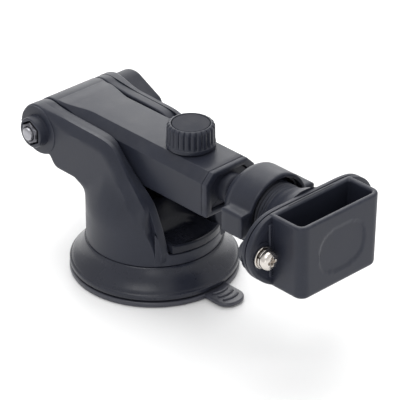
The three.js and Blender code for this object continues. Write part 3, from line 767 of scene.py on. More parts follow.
def rim_slope(gap, width, depth):
    """Sloped band below a small step: with t the share of its width crossed, a drop of 0.7 t + 0.3 t^3."""
    t = 1 - np.clip(gap / width, 0, 1)
    step = 0.18 * np.minimum(t / 0.12, 1)
    return depth * (0.7 * t + 0.3 * t**3) + step


def cover_sheet(side):
    """A closed sheet whose rows join the rear edge to the front edge, out over the face and back inside.

    The face is cover_face less a drop by the distance to each edge: a broad slope along the front and top of
    the neck, a narrow rounding elsewhere.
    """
    rear, fore = cover_edges()
    span = np.linalg.norm(fore - rear, axis=1)
    near = np.array([0, 0.12, 0.3, 0.55, 0.9, 1.3, 1.9, 2.7, 3.7, 5.0, 6.6, 8.4])
    widths = np.minimum(near[None] / span[:, None], near[None] / near[-1] * 0.45)
    inner = widths[:, -1:] + (1 - 2 * widths[:, -1:]) * np.linspace(0, 1, 14)[None, 1:-1]
    share = np.hstack([widths, inner, (1 - widths)[:, ::-1]])
    across = rear[:, None] + (fore - rear)[:, None] * share[..., None]
    x, z = across[..., 0], across[..., 1]
    gap_front, gap_rear = distance(across, fore), distance(across, rear)
    broad, narrow = mm(sizes().cover_rim), mm(sizes().cover_edge)
    growth = smooth(z, 30.5, 41) * (1 - smooth(-x, 28, 46))
    width = 0.1 + (narrow - 0.1) * smooth(z, 29.5, 33) + (broad - narrow) * growth
    depth = width * (1 - 0.4 * growth)
    drop = (1 - growth) * rim_drop(gap_front, width, depth) + growth * rim_slope(gap_front, width, depth)
    drop = np.maximum(drop, rim_drop(gap_rear, narrow, narrow))
    outer = np.maximum(cover_face(x, z) - drop, COVER_INNER + 0.5)
    back = share[:, ::-12]
    inside = rear[:, None] + (fore - rear)[:, None] * back[..., None]
    flat = placed("y", inside[..., 0], inside[..., 1], side * COVER_INNER)
    return np.concatenate([placed("y", x, z, side * outer), flat], 1)


def hexagon_ring(size, centre, angles):
    """Points on a hexagon's edge at given angles: its flat over the cosine of the angle off that flat."""
    t = (np.degrees(angles) + 30) % 60 - 30
    radius = size * np.cos(np.radians(30)) / np.cos(np.radians(t))
    return np.stack([centre[0] + radius * np.cos(angles), centre[1] + radius * np.sin(angles)], -1)


def build_covers():
    """Both covers, each with the low disc round the pivot, and the near one with its hexagonal collar."""
    angles = np.linspace(0, 2 * np.pi, 96, endpoint=False)
    ear = (PIVOT[0], PIVOT[2])
    for name, side in SIDES:
        centre = (PIVOT[0], 0, PIVOT[2])
        disc = [(21.2, 3.2), (21.2, 10.4), (22.15, 10.4), (22.3, 10.2), (22.36, 9.9), (22.36, 3.2)]
        disc = np.array(disc) * [side, 1]
        sheets = [sheet(cover_sheet(side)), sheet(turned(disc, "y", centre), ring=True)]
        if side < 0:
            out = extent("near_side_cover")[0][1] + 1.7
            ring = [(7.0, -21.8), (6.75, -22.6), (6.6, -23.4)]
            ring += [(6.5, out + 0.6), (6.32, out + 0.18), (5.95, out)]
            outer = [placed("y", *arc(ear, r, 0, 356.25, 96).T, y) for r, y in ring]
            hexes = [(5.75, out + 0.02), (5.5, out + 0.35), (5.5, -22.2), (3.3, -22.1), (3.3, -21.8)]
            inner = [placed("y", *hexagon_ring(s, ear, angles).T, y) for s, y in hexes]
            sheets.append(sheet(np.stack(outer + inner), ring=True))
        shell = f"{name}_cover_shell"
        make(shell, sheets, "base", "satin", f"{name}_side_cover", crease=24)


def sector(angles, section):
    """A closed section of (radius, height) corners turned through part of a circle, capped at both ends."""
    t = np.radians(angles)[:, None]
    r, z = section[..., 0], section[..., 1]
    return np.stack([r * np.cos(t), r * np.sin(t), np.broadcast_to(z, (len(angles), z.shape[-1]))], -1)


def build_body():
    """Side plates swept across from their outline, and a drum of sectors: sill, front posts and rear wall.

    The top of each front post follows the plate's front edge: its height is read at x = radius * cos(angle).
    """
    rear, _ = cover_edges()
    slope = [(23.8, 20.8), (20.9, 29.6), (17.8, 36.6), (15.6, 40.6), (11, 44.5), (5.2, 48.8)]
    slope += [(-1.3, 54.8), (-5.6, 59.6), (-9.2, 61.2), (-15, 61.5), (-31, 61.8), (-36, 62.1), (-40.2, 62.5)]
    ear = (PIVOT[0], PIVOT[2])
    front = np.vstack([along(slope, np.linspace(0, 1, 90)), arc(ear, 10.9, 66, 178, 30)])
    front = eased(front, 4)
    foot = np.array([[23.4, 17.0], [-21.4, 17.0]])
    back = rear[rear[:, 1] > 18][::2]
    back = back[back[:, 0] > -56.3]
    outline = np.vstack([front, back[::-1], foot[1:], foot[:1]])
    sheets = []
    for side in (-1, 1):
        sheets.append(sheet(swept(outline, slab_steps(side * 13.65, side * 17.75, 0.9, 0.12, 6), "y")))
    floor = np.vstack([arc((0, 0), 27.7, -39, 39, 40), arc((0, 0), 27.7, 141, 219, 40)])
    sheets.append(sheet(swept(floor, slab_steps(14.95, 17.25, 0.1, 0.1, 3), "z")))
    sill = rounded([(25.8, 15, 0.1), (27.98, 14.9, 0.1), (27.98, 19.7, 0.5), (25.8, 19.7, 0.5)], 5)
    sheets.append(sheet(sector(np.linspace(-30, 30, 48), sill)))
    wall = rounded([(25.8, 15, 0.1), (28, 14.9, 0.1), (28, 41.2, 0.4), (25.8, 41.2, 0.4)], 5)
    sheets.append(sheet(sector(np.linspace(140.8, 219.2, 60), wall)))
    for side in (-1, 1):
        turn = np.linspace(29.2, 42, 24)
        rise = np.interp(27.98 * np.cos(np.radians(turn)), [20.9, 23.8, 24.4], [29.6, 20.8, 19.7])[:, None]
        share = np.array([0.0, 0.0, 1.0, 1.0])[None]
        radius = np.broadcast_to(np.array([24.6, 27.98, 27.98, 24.6])[None], (24, 4))
        height = 14.95 + (rise - 14.95) * share
        t = np.radians(side * turn)[:, None]
        sheets.append(sheet(np.stack([radius * np.cos(t), radius * np.sin(t), height], -1)))
    web = rounded([(-36.4, 38.6, 0.8), (-20.5, 38.6, 0.3), (-20.5, 41.2, 0.3), (-37.7, 41.2, 0.8)], 5)
    sheets.append(sheet(swept(web, slab_steps(-14.4, 14.4, 0.1, 0.1, 3), "y")))
    make("body_shell", sheets, "base", "satin", "base_body")


# ----------------------------------------------------------------------------------------------------------
# Lever
# ----------------------------------------------------------------------------------------------------------


def build_lever():
    """A plate whose front edge is an arc, with rounded rims and a dish that deepens as a smooth bowl.

    The top is the flat height less a quarter-circle rounding by the distance to the rim, less the dish,
    which is deepest in the middle and fades to nothing before the rim.  Behind the dish it rises smoothly
    into a thin hood over the pin.
    """
    high = extent("lock_lever")[1]
    radius, half, start = high[0], high[1], -7.0
    thick, top = 3.6, 23.8
    u = np.sin(np.linspace(-np.pi / 2, np.pi / 2, 61))
    y = np.broadcast_to((u * half)[:, None], (61, 64))
    last = 0.94 + 0.06 * np.sin(np.linspace(0, np.pi / 2, 15))
    v = np.concatenate([np.linspace(0, 0.94, 50), last[1:]])
    reach = np.sqrt(radius**2 - y**2)
    x = start + (reach - start) * v[None, :]
    rim = np.minimum(half - np.abs(y), reach - x)
    bowl = np.clip(1 - (np.abs(x - 18.2) / 9.0) ** 2.6 - (np.abs(y) / 11.9) ** 3.2, 0, 1)
    hood = 7.6 * smooth(-x, -13.5, -1.5)
    z_top = top + hood - rim_drop(rim, 0.9, 0.9) - mm(sizes().dish_depth) * smooth(bowl, 0, 0.75)
    z_low = top + hood - thick * (1 - 0.58 * smooth(-x, -12, -8)) + rim_drop(rim, 0.5, 0.5)
    plate = np.concatenate([np.stack([x, y, z_top], -1), np.stack([x, y, z_low], -1)[:, ::-1]], 1)
    sheets = [sheet(plate)]
    for side in (-1, 1):
        ends = sorted((side * 4.3, side * 9.0))
        cam = np.vstack([arc((1.22, 22.545), 5.0, 28, 270, 40), [(10, 17.545 + 2.9), (10, 23.7), (7, 24.4)]])
        sheets.append(sheet(swept(cam, slab_steps(*ends, 0.3, 0.3, 4), "y")))
    make("lever_plate", sheets, "lever", "gloss", "lock_lever")


# ----------------------------------------------------------------------------------------------------------
# Pivot hardware
# ----------------------------------------------------------------------------------------------------------


def build_pivot():
    """The paddle knob is a hub and a tip joined by straight sides; nut and bolt have hexagons."""
    ear = (PIVOT[0], PIVOT[2])
    low, high = extent("pivot_knob")
    outline = np.vstack([arc(ear, 9.2, 68, 290, 56), arc((-32.5, 51.6), 4.2, -76, 62, 22)])
    face = high[1]
    steps = slab_steps(low[1], face, 0.8, 2.2, 9)[:-1]
    steps = np.vstack([steps, [(2.9, face), (3.3, face - 0.12), (3.7, face - 0.4), (4.1, face - 0.45)]])
    paddle = sheet(swept(finer(outline, 1.2), steps, "y"))
    make("paddle_knob", [paddle], "pivot_screw", "dark", "pivot_knob")
    angles = np.linspace(0, 2 * np.pi, 96, endpoint=False)

    def hex_rows(rows):
        return [placed("y", *hexagon_ring(size, ear, angles).T, y) for size, y in rows]

    def round_rows(rows):
        return [placed("y", ear[0] + r * np.cos(angles), ear[1] + r * np.sin(angles), y) for r, y in rows]

    out, back = extent("pivot_nut")[0][1] - 1.6, extent("pivot_nut")[1][1]
    nut = hex_rows([(4.9, back), (4.9, out + 0.9), (4.7, out + 0.5)])
    nut += round_rows([(4.05, out + 0.15), (3.5, out), (3.15, out + 0.25), (2.9, out + 0.6), (2.9, back)])
    make("pivot_nut_body", [sheet(np.stack(nut), ring=True)], "base", "black_steel", "pivot_nut")
    end = extent("pivot_bolt")[0][1] - 2.3
    bolt = [(23.1, 0), (23.1, 2.8), (end + 1.0, 2.8), (end + 0.45, 2.6), (end + 0.1, 2.0), (end, 1.3)]
    bolt += [(end - 0.03, 0)]
    head = swept(hexagon_ring(5.5, ear, angles), slab_steps(23, 27, 0.3, 0.3, 4), "y")
    sheets = [sheet(turned(bolt, "y", (ear[0], 0, ear[1]), 64)), sheet(head)]
    make("pivot_bolt_body", sheets, "pivot_screw", "zinc", "pivot_bolt")


# ----------------------------------------------------------------------------------------------------------
# Arm
# ----------------------------------------------------------------------------------------------------------


def channel_outline(half, bottom, top, chamfer, edge, steps=6):
    """The arm's outer section from its lower right corner over the top to its lower left corner."""
    corners = [
        (half, bottom, edge),
        (half, top - chamfer, edge),
        (half - chamfer, top, edge),
        (chamfer - half, top, edge),
        (-half, top - chamfer, edge),
        (-half, bottom, edge),
    ]
    return rounded(corners, steps)


def build_arm():
    """The arm is a U section lofted forward: its chamfer grows smoothly out of the full-width barrel.

    Both ends of the U are capped by quads from each point of the outer line to its partner on the inner one.
    """
    front, half, top = extent("arm_shell")[1]
    bottom, cavity = 45.0, (11.2, 61.6)
    edge, chamfer = mm(sizes().arm_edge), mm(sizes().arm_chamfer)
    full = channel_outline(half, bottom, top, chamfer, edge)
    plain = channel_outline(half, bottom, top, 0.9, edge)
    x = np.concatenate([np.linspace(-44.4, -22, 24), np.linspace(-20, front - 0.4, 24)])
    x = np.append(x, [front - 0.15, front])
    growth = smooth(x, -41, -25)[:, None, None]
    shrink = np.concatenate([np.zeros(48), [0.12, 0.3]])[:, None, None]
    section = plain[None] + (full - plain)[None] * growth
    section[..., 1] -= np.where(section[..., 1] > 55, 0.3, 0) * (1 - smooth(x, -44.6, -38))[:, None]
    centre = np.array([0.0, (bottom + top) / 2])
    section = section - (section - centre) * shrink / 12
    wide, ceiling = cavity
    inner = [(wide, bottom, 0.2), (wide, ceiling, 0.4), (-wide, ceiling, 0.4), (-wide, bottom, 0.2)]
    inner = rounded(inner, 9)[::-1]
    loop = np.concatenate([section, np.broadcast_to(inner, (len(x), *inner.shape))], 1)
    loop[..., 1] = np.maximum(loop[..., 1], np.interp(x, [-38, -35], [48.5, bottom])[:, None])
    depth = np.broadcast_to(x[:, None], loop.shape[:2])
    channel = np.stack([depth, loop[..., 0], loop[..., 1]], -1)
    ear = (PIVOT[0], PIVOT[2])
    lug = np.vstack([arc(ear, 11.0, 40, 316, 88), [(-36.8, bottom), (-35.0, bottom), (-35.0, 57.0)]])
    barrel = swept(finer(lug, 1.5), slab_steps(-half, half, 0.7, 0.7, 7), "y")
    corners, faces = sheet(channel, ends=False)
    m = channel.shape[1]
    for first in (0, (len(x) - 1) * m):
        last = first + m - 1
        faces += [[first + k, first + k + 1, last - 1 - k, last - k] for k in range(m // 2 - 1)]
    make("arm_channel", [(corners, faces), sheet(barrel)], "arm", "satin", "arm_shell", crease=28)
    outer = channel_outline(half, bottom, top, chamfer, 0.8)
    mouth = channel_outline(10.2, 47.3, 61.4, 3.0, 0.5)
    outside = [(0.25, 42.2), (0, 42.45), (0, 43.9), (0.12, 44.25), (0.35, 44.48), (0.7, 44.6)]
    inside = [(-0.35, 44.6), (-0.1, 44.5), (0, 44.2), (0, 42.2)]
    frame_rows = np.concatenate([swept(outer, outside, "x"), swept(mouth, inside, "x")])
    back = extent("arm_end_cap")[0][0]
    tongues = []
    for side in (-1, 1):
        block = [(side * 9.7, 50, 0.3), (side * 10.9, 50, 0.3), (side * 10.9, 58, 0.3), (side * 9.7, 58, 0.3)]
        tongues.append(sheet(swept(rounded(block, 4), slab_steps(back, 42.4, 0.3, 0.1, 3), "x")))
    make("arm_mouth_frame", [sheet(frame_rows, ring=True), *tongues], "arm", "satin", "arm_end_cap")


def build_slide_plate():
    """The plate on the inner arm's end that fills the mouth: a chamfered outline with rounded rims."""
    outline = channel_outline(9.85, 47.65, 61.05, 2.85, 0.5)
    plate = sheet(swept(outline, slab_steps(42.5, 43.6, 0.1, 0.4, 5), "x"))
    make("slide_end_plate", [plate], "telescope", "dark")


def build_slide_knob():
    """A turned grip with even flutes: at each angle the dip is 1 - |sin(angle x count / 2)|^0.55."""
    low, high = extent("slide_knob")
    bottom, top = low[2], high[2]
    depth, count = mm(sizes().flute_depth), sizes().flute_count
    profile = [(bottom, 2.3), (bottom, 9.7), (bottom + 0.2, 9.95), (bottom + 0.45, 10.0)]
    profile += [(bottom + 1.5, 10.0), (bottom + 1.75, 9.95), (bottom + 1.9, 9.8), (bottom + 2.3, 9.78)]
    profile += [(z, 9.78 - 0.012 * (z - bottom)) for z in np.linspace(bottom + 2.8, top - 1.5, 8)]
    profile += [(top - 1.0, 9.55), (top - 0.6, 9.25), (top - 0.3, 8.9), (top - 0.1, 8.5), (top, 8.15)]
    profile += [(top - 0.02, 8.0), (top - 0.25, 7.8), (top - 1.35, 7.8), (top - 1.4, 4.2)]
    profile += [(68.0, 4.2), (68.0, 2.3)]

    def flute(angle, rows):
        z, r = rows[:, :1], rows[:, 1:2]
        here = smooth(z, bottom + 1.7, bottom + 2.6) * smooth(r, 8.2, 9.3)
        return depth * here * (1 - np.abs(np.sin(angle * count / 2)) ** 0.55)

    grip = sheet(turned(profile, "z", (KNOB[0], 0, 0), 480, flute), ring=True)
    make("slide_knob_grip", [grip], "slide_screw", "satin", "slide_knob")
    disc = [(top - 1.1, 0, 0), (top - 1.1, 7.6, 0.1), (top - 0.1, 7.6, 0.35)]
    disc += [(top - 0.16, 6.4, 0.4), (top - 0.16, 0, 0)]
    disc = sheet(turned(soft_profile(disc), "z", (KNOB[0], 0, 0), 120))
    make("slide_knob_disc", [disc], "slide_screw", "matt", "slide_knob_cap")


# ----------------------------------------------------------------------------------------------------------
# Ball joint
# ----------------------------------------------------------------------------------------------------------


def build_ball_stud():
    """A turned shank, shoulder, neck and ball."""
    ball = arc((BALL[0], 0), 8.5, 152, 0, 30)
    profile = [(33, 0), (33, 3), (41.3, 3), (41.3, 5.9), (41.6, 6.3), (46.6, 6.3), (47.2, 6.0)]
    profile += [(47.8, 5.2), (48.6, 4.4), (49.4, 4.05), (50.6, 3.95), (51.8, 3.98)] + ball.tolist()
    stud = sheet(turned(profile, "x", (0, 0, BALL[2]), 96))
    make("ball_and_neck", [stud], "telescope", "dark", "ball_stud")


def build_lock_nut():
    """Each row's radius is a soft maximum of a circle and, at the wings, a box in polar form.

    The box's radius is the smaller of reach / |cos| and height / |sin|; the soft maximum, the log of the sum
    of powers, leaves a hollow fillet where wing meets barrel. A row is x, radius and the wings' share.
    """
    t = np.linspace(0, 2 * np.pi, 360, endpoint=False)
    reach, above, below, rounding = extent("lock_nut")[1][1] + 0.4, 5.5, 4.9, 1.6
    rows = [(52.0, 9.6, 0), (52.0, 10.1, 0), (52.15, 10.45, 0), (53.4, 11.7, 0), (54.8, 13.1, 0)]
    rows += [(56.2, 14.45, 0), (57.0, 15.1, 0), (57.8, 15.6, 0), (58.6, 15.9, 0), (59.3, 16.0, 0)]
    rows += [(59.45, 16.0, 0.8), (59.6, 16.0, 0.9), (59.85, 16.0, 0.955), (60.2, 16.0, 0.985)]
    rows += [(x, 16.0, 1) for x in (60.8, 63, 66, 69, 70)]
    rows += [(70.5, 15.93, 0.985), (70.8, 15.75, 0.955), (70.95, 15.5, 0.92), (71.0, 15.2, 0.89)]
    x, radius, wing = np.array(rows).T[:, :, None]
    height = np.where(np.sin(t) > 0, above, below)
    across, up = np.maximum(np.abs(np.cos(t)), 1e-6), np.maximum(np.abs(np.sin(t)), 1e-6)
    box = np.minimum((reach - (1 - wing) * 8) / across, (height * wing**3) / up)
    box = np.where(wing > 0, np.minimum(box, 30), 0)
    over_reach = np.clip(across * box - (reach - rounding), 0, None)
    over_height = np.clip(up * box - (height - rounding), 0, None)
    box = box - np.clip(np.hypot(over_reach, over_height) - rounding, 0, None)
    power = 17.0
    r = (radius**power + box**power) ** (1 / power)
    outer = np.stack([np.broadcast_to(x, r.shape), r * np.cos(t), BALL[2] + r * np.sin(t)], -1)
    bore = [(71.0, 14.5), (70.9, 14.3), (68.2, 14.2), (68.0, 13.5), (58.7, 13.4), (52.3, 9.4)]
    inner = turned(bore, "x", (0, 0, BALL[2]), 360)
    make("lock_nut_body", [sheet(np.concatenate([outer, inner]), ring=True)], "nut", "satin", "lock_nut")


def flange_outline():
    """The flange's outline: flat top and bottom edges, and full rounds about the two screws."""
    side = [(19, 37.0), (20.5, 37.7), (25, 40.4), (29.2, 44.2), (32, 48.5), (33.5, 52.6), (33.7, 56.5)]
    side += [(32.6, 60.5), (30, 64.2), (26.2, 66.9), (22, 68.3), (17, 68.6)]
    half = np.array(side)
    both = np.vstack([half, (half * [-1, 1])[::-1]])
    ring = along(np.vstack([both, both[:1]]), np.linspace(0, 1, 180, endpoint=False))
    for _ in range(6):
        ring = 0.25 * np.roll(ring, 1, 0) + 0.5 * ring + 0.25 * np.roll(ring, -1, 0)
    return ring


def build_socket_plate():
    """The socket is turned, with a ribbed neck for the nut's thread; the plate is the flange's outline."""
    thread = [(x, 11.75 + 0.28 * np.cos(2 * np.pi * (x - 66.8) / 1.5)) for x in np.arange(66.8, 74.2, 0.25)]
    mouth = BALL[0] + 11.1 * math.cos(math.radians(118))
    cavity = arc((BALL[0], 0), 11.1, 118, 0, 20)
    outside = [(84.9, 0), (84.9, 15.6), (84.5, 15.25), (83.4, 14.8), (82, 14.35), (80.7, 13.8)]
    outside += [(79.4, 13.1), (77.8, 12.5), (76.4, 12.15), (75.0, 12.0), (74.4, 11.7)] + thread[::-1]
    outside += [(66.4, 12.2), (65.8, 12.9), (65.4, 13), (59.0, 13), (58.6, 12.8), (mouth, 10.5)]
    cup = turned(np.vstack([outside, cavity]), "x", (0, 0, BALL[2]), 128)
    plate = swept(flange_outline(), slab_steps(84.9, 86.7, 0.5, 0.2, 5), "x")
    sheets = [sheet(cup), sheet(plate)]
    boss = [(80.6, 2.3), (80.6, 3.6), (80.75, 4.3), (81.3, 4.9), (82.4, 5.35), (83.6, 5.6)]
    boss += [(84.5, 6.1), (85.2, 6.8), (85.2, 2.3)]
    for name, _ in SIDES:
        _, y, z = middle(f"{name}_plate_screw")
        sheets.append(sheet(turned(boss, "x", (0, y, z), 72), ring=True))
    make("socket_and_plate", sheets, "holder", "satin", "socket_plate")


# ----------------------------------------------------------------------------------------------------------
# Holder
# ----------------------------------------------------------------------------------------------------------


def box_plan(amount, half, front, corner):
    """The box's plan moved in by an amount: straight sides of even points between four arcs.

    Each arc's radius shrinks with the inset and stops at a small one, so no corner ever crosses itself.
    """
    back = 87.0 + amount
    half, front = half - amount, front - amount
    tight, wide = max(0.3, 0.9 - abs(amount - 2.4)), max(corner - amount, 0.9)
    corners = [(back, -half, tight), (front, -half, wide), (front, half, wide), (back, half, tight)]
    steps, along_side = 10, (18, 54, 18, 40)
    ring = rounded(corners, steps)
    marks = []
    for k, count in enumerate(along_side):
        last = steps * (k + 1) - 1
        marks += [np.arange(steps * k, last), np.linspace(last, last + 1, count)[:-1]]
    ring = np.vstack([ring, ring[:1]])
    return np.stack([np.interp(np.concatenate(marks), np.arange(len(ring)), ring[:, k]) for k in (0, 1)], -1)


def box_rows(low, high, wall):
    """Inset and height of the holder's rows: up inside, over the rounded rim, down outside and under."""
    bottom, top = low[2], high[2]
    rim = mm(sizes().box_rim)
    t = np.linspace(0, np.pi / 2, 6)
    floor = bottom + 2.8
    inside = [(wall + 1.6, floor), (wall + 1.2, floor), (wall + 0.4, floor + 0.3), (wall, floor + 1.1)]
    inside += [(wall, z) for z in np.linspace(bottom + 5, top - rim - 0.3, 4)]
    over = [(wall - rim * (1 - np.cos(a)), top - rim * (1 - np.sin(a))) for a in t]
    down = [(rim * (1 - np.sin(a)), top - rim * (1 - np.cos(a))) for a in t]
    face = [(0, z) for z in np.linspace(top - rim - 0.3, bottom + 2.4, 32)]
    under = [(2.0 * (1 - np.cos(a)), bottom + 2.0 * (1 - np.sin(a))) for a in t]
    return inside + over + down + face + under + [(2.4, bottom)]


def build_holder():
    """A box swept from its plan up, over and down, its sides drawn in toward the bottom.

    The front has a shallow oval recess: its depth rises smoothly inside an ellipse. The ears are the
    flange's outline with a ridged rim round a lower field.
    """
    low, high = extent("holder_box")
    half, front, wall = 21.8, high[0], 2.4
    corner = mm(sizes().box_corner)
    plans = [(box_plan(i, half, front, corner), z) for i, z in box_rows(low, high, wall)]
    rows = np.stack([placed("z", *plan.T, z) for plan, z in plans])
    taper = 1 - 0.037 * (high[2] - rows[..., 2]) / 31
    rows[..., 1] *= taper
    oval = 1 - np.abs((rows[..., 1] - 0.5) / 12.4) ** 2.6 - np.abs((rows[..., 2] - 53.0) / 9.6) ** 2.6
    on_face = rows[..., 0] > front - 0.02
    rows[..., 0] -= np.where(on_face, mm(sizes().recess_depth) * smooth(oval, 0, 0.09), 0)
    ridges = [(2.4 + 0.45 * k, 89.0 + 0.09 * (k % 2)) for k in range(5)]
    steps = [(0.6, 87.0), (0.2, 87.05), (0, 87.3), (0, 88.7), (0.1, 88.92), (0.35, 89.05), (1.9, 89.08)]
    steps += ridges + [(4.9, 88.95), (5.3, 88.5), (6.0, 88.45)]
    ears = swept(flange_outline(), steps, "x")
    sheets = [sheet(rows), sheet(ears)]
    pad = [(88.2, 2.3), (88.2, 5.6), (88.95, 5.5), (89.05, 5.3), (89.05, 2.3)]
    for name, side in SIDES:
        _, y, z = middle(f"{name}_plate_screw")
        sheets.append(sheet(turned(pad, "x", (0, y, z), 64), ring=True))
        strip = np.array([(20.9, 42.5, 0.6), (23.0, 42.5, 0.6), (23.6, 65.5, 0.6), (20.9, 65.5, 0.6)])
        strip = rounded(strip * [side, 1, 1], 5)
        sheets.append(sheet(swept(strip, slab_steps(88, 89.8, 0.2, 0.5, 5), "x")))
    make("holder_shell", sheets, "holder", "satin", "holder_box")


def screw_head(face, y, z, t):
    """Rows of a pan head from its middle out: a dome that falls off, less the two arms of a cross."""
    last = 2.7 + 1.2 * np.sin(np.linspace(0, np.pi / 2, 12))
    r = np.concatenate([np.linspace(0, 2.7, 28), last[1:]])[:, None]
    fall = 0.9 * np.clip((r - 1.6) / 2.3, 0, 1) ** 2.2 + 0.9 * np.clip((r - 3.3) / 0.6, 0, 1) ** 3
    a, b = r * np.cos(t), r * np.sin(t)
    arm_one = smooth(0.62 - np.abs(a), 0, 0.25) * smooth(2.15 - np.abs(b), 0, 0.7)
    arm_two = smooth(0.62 - np.abs(b), 0, 0.25) * smooth(2.15 - np.abs(a), 0, 0.7)
    height = face + 0.1 - fall - 1.3 * np.maximum(arm_one, arm_two)
    return np.stack([height, y + a, z + b], -1)


def split_washer(y, z):
    """A rounded section turned through most of a circle while it climbs, so that its ends stand apart."""
    section = rounded([(90.4, 2.3, 0.1), (90.4, 3.95, 0.25), (91.35, 3.95, 0.25), (91.35, 2.3, 0.1)], 5)
    x, r = section.T[:, None]
    turn = np.radians(np.linspace(158, 508, 110))[:, None]
    rise = np.linspace(0, 0.25, 110)[:, None]
    return np.stack([x + rise, y + r * np.cos(turn), z + r * np.sin(turn)], -1)


def build_plate_screws():
    """Each ear's pan head and shank, over a split washer and a plain one."""
    t = np.linspace(0, 2 * np.pi, 128, endpoint=False)[None] + 0.35
    for name, _ in SIDES:
        _, y, z = place = middle(f"{name}_plate_screw") * [0, 1, 1]
        face = extent(f"{name}_plate_screw")[1][0]
        shank = [(face - 2.8, 3.85), (face - 2.8, 1.95), (81.4, 1.95), (81, 1.5), (81, 0)]
        screw = sheet(np.concatenate([screw_head(face, y, z, t), turned(shank, "x", place, 128)]))
        make(f"{name}_pan_screw", [screw], "holder", "steel", f"{name}_plate_screw", crease=24)
        flat = rounded([(89.3, 2.3, 0.1), (89.3, 4.5, 0.2), (90.2, 4.5, 0.25), (90.2, 2.3, 0.1)], 5)
        flat = sheet(turned(flat, "x", place, 96), ring=True)
        make(f"{name}_plain_washer", [flat], "holder", "steel", f"{name}_flat_washer")
        split = sheet(split_washer(y, z))
        make(f"{name}_split_washer", [split], "holder", "steel", f"{name}_spring_washer")


# ----------------------------------------------------------------------------------------------------------
# Finishes of the frame's own pieces
# ----------------------------------------------------------------------------------------------------------

NODE_FINISHES = {
    "dark": ["inner_arm"],
    "satin": ["arm_bottom_cover"],
    "acetal": ["cup_stud", "inner_arm_stop", "ball_liner", "clamp_ring"],
    "rubber": ["brake_pad"],
    "fibre": ["near_pivot_washer", "far_pivot_washer"],
    "steel": [f"skirt_screw_{k}" for k in (1, 2, 3)] + ["cup_spring", "lever_pin", "slide_knob_stud"],
    "black_steel": ["arm_screw_1", "arm_screw_2"],
    "brass": ["slide_nut", "near_plate_insert", "far_plate_insert"],
}


def finish_nodes():
    """Gives each shown CAD node its finish."""
    for finish, names in NODE_FINISHES.items():
        for name in names:
            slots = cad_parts[name].data.materials
            slots.clear()
            slots.append(FINISHES[finish]())


# ----------------------------------------------------------------------------------------------------------
# Studio
# ----------------------------------------------------------------------------------------------------------


def area_light(name, place, size, energy, aim=(0.02, 0.0, 0.03)):
    """A square area light turned to face a point."""
    light = bpy.data.lights.new(name, "AREA")
    light.size, light.energy = size, energy
    lamp = bpy.data.objects.new(name, light)
    lamp.location = place
    lamp.rotation_euler = (Vector(aim) - Vector(place)).to_track_quat("-Z", "Y").to_euler()
    bpy.context.scene.collection.objects.link(lamp)


def build_stage():
    """Floor, white surroundings, four soft lights and the camera."""
    studio, scene = bpy.context.scene.mount_studio, bpy.context.scene
    u, v = np.meshgrid(np.linspace(-2.5, 2.5, 3), np.linspace(-2.5, 2.5, 3), indexing="ij")
    corners, faces = sheet(np.stack([u, v, np.full(u.shape, -0.0002)], -1), around=False, ends=False)
    mesh = bpy.data.meshes.new("floor")
    mesh.from_pydata(corners.tolist(), [], faces)
    floor = bpy.data.objects.new("floor", mesh)
    scene.collection.objects.link(floor)
    material, tree, shader, vector = blank_material("pale floor")
    drift = ramp(tree, noise(tree, vector, 6.0), 0.3, 0.7, 0.46, 0.54)
    tree.links.new(drift, shader.inputs["Roughness"])
    shader.inputs["Base Color"].default_value = (*tones().floor, 1)
    mesh.materials.append(material)
    world = bpy.data.worlds.new("surroundings")
    world.use_nodes = True
    world.node_tree.nodes["Background"].inputs["Color"].default_value = (1, 1, 1, 1)
    world.node_tree.nodes["Background"].inputs["Strength"].default_value = studio.sky
    scene.world = world
    area_light("key light", (-0.25, 0.25, 0.95), 0.8, studio.key)
    area_light("fill light", (0.2, -0.5, 0.95), 0.5, studio.fill)
    area_light("rim light", (-0.75, 0.6, 0.45), 0.7, studio.rim)
    area_light("front light", (0.5, -0.5, 0.12), 0.25, studio.front, aim=(0.0, 0.0, 0.02))
    turn, rise = studio.azimuth, studio.elevation
    across = Vector((math.cos(turn), math.sin(turn), 0))
    back = Vector((math.sin(turn) * math.cos(rise), -math.cos(turn) * math.cos(rise), math.sin(rise)))
    camera = bpy.data.objects.new("camera", bpy.data.cameras.new("camera"))
    place = Matrix((across, back.cross(across), back)).transposed().to_4x4()
    place.translation = Vector(studio.aim) + back * studio.distance
    camera.matrix_world = place
    camera.data.lens = studio.lens
    camera.data.sensor_width = 36
    scene.collection.objects.link(camera)
    scene.camera = camera
    scene.view_settings.view_transform = "Standard"


# ----------------------------------------------------------------------------------------------------------
# Operators
# ----------------------------------------------------------------------------------------------------------


class MakeCup(bpy.types.Operator):
    """Make the suction cup with its pull tab"""

    bl_idname = "mount.cup"
    bl_label = "Suction cup"

    def execute(self, context):
        build_cup()
        return {"FINISHED"}


class MakeSkirt(bpy.types.Operator):
    """Make the skirt over the cup"""

    bl_idname = "mount.skirt"
    bl_label = "Skirt"

    def execute(self, context):
        build_skirt()
        return {"FINISHED"}


class MakeBody(bpy.types.Operator):
    """Make the body between the covers"""

    bl_idname = "mount.body"
    bl_label = "Body"

    def execute(self, context):
        build_body()
        return {"FINISHED"}


class MakeCovers(bpy.types.Operator):
    """Make both side covers"""

    bl_idname = "mount.covers"
    bl_label = "Side covers"

    def execute(self, context):
        build_covers()
        return {"FINISHED"}


class MakeLever(bpy.types.Operator):
    """Make the locking lever with its cams"""

    bl_idname = "mount.lever"
    bl_label = "Locking lever"

    def execute(self, context):
        build_lever()
        return {"FINISHED"}


class MakePivot(bpy.types.Operator):
    """Make the paddle knob, bolt and nut of the arm's pivot"""

    bl_idname = "mount.pivot"
    bl_label = "Pivot hardware"

    def execute(self, context):
        build_pivot()
        return {"FINISHED"}


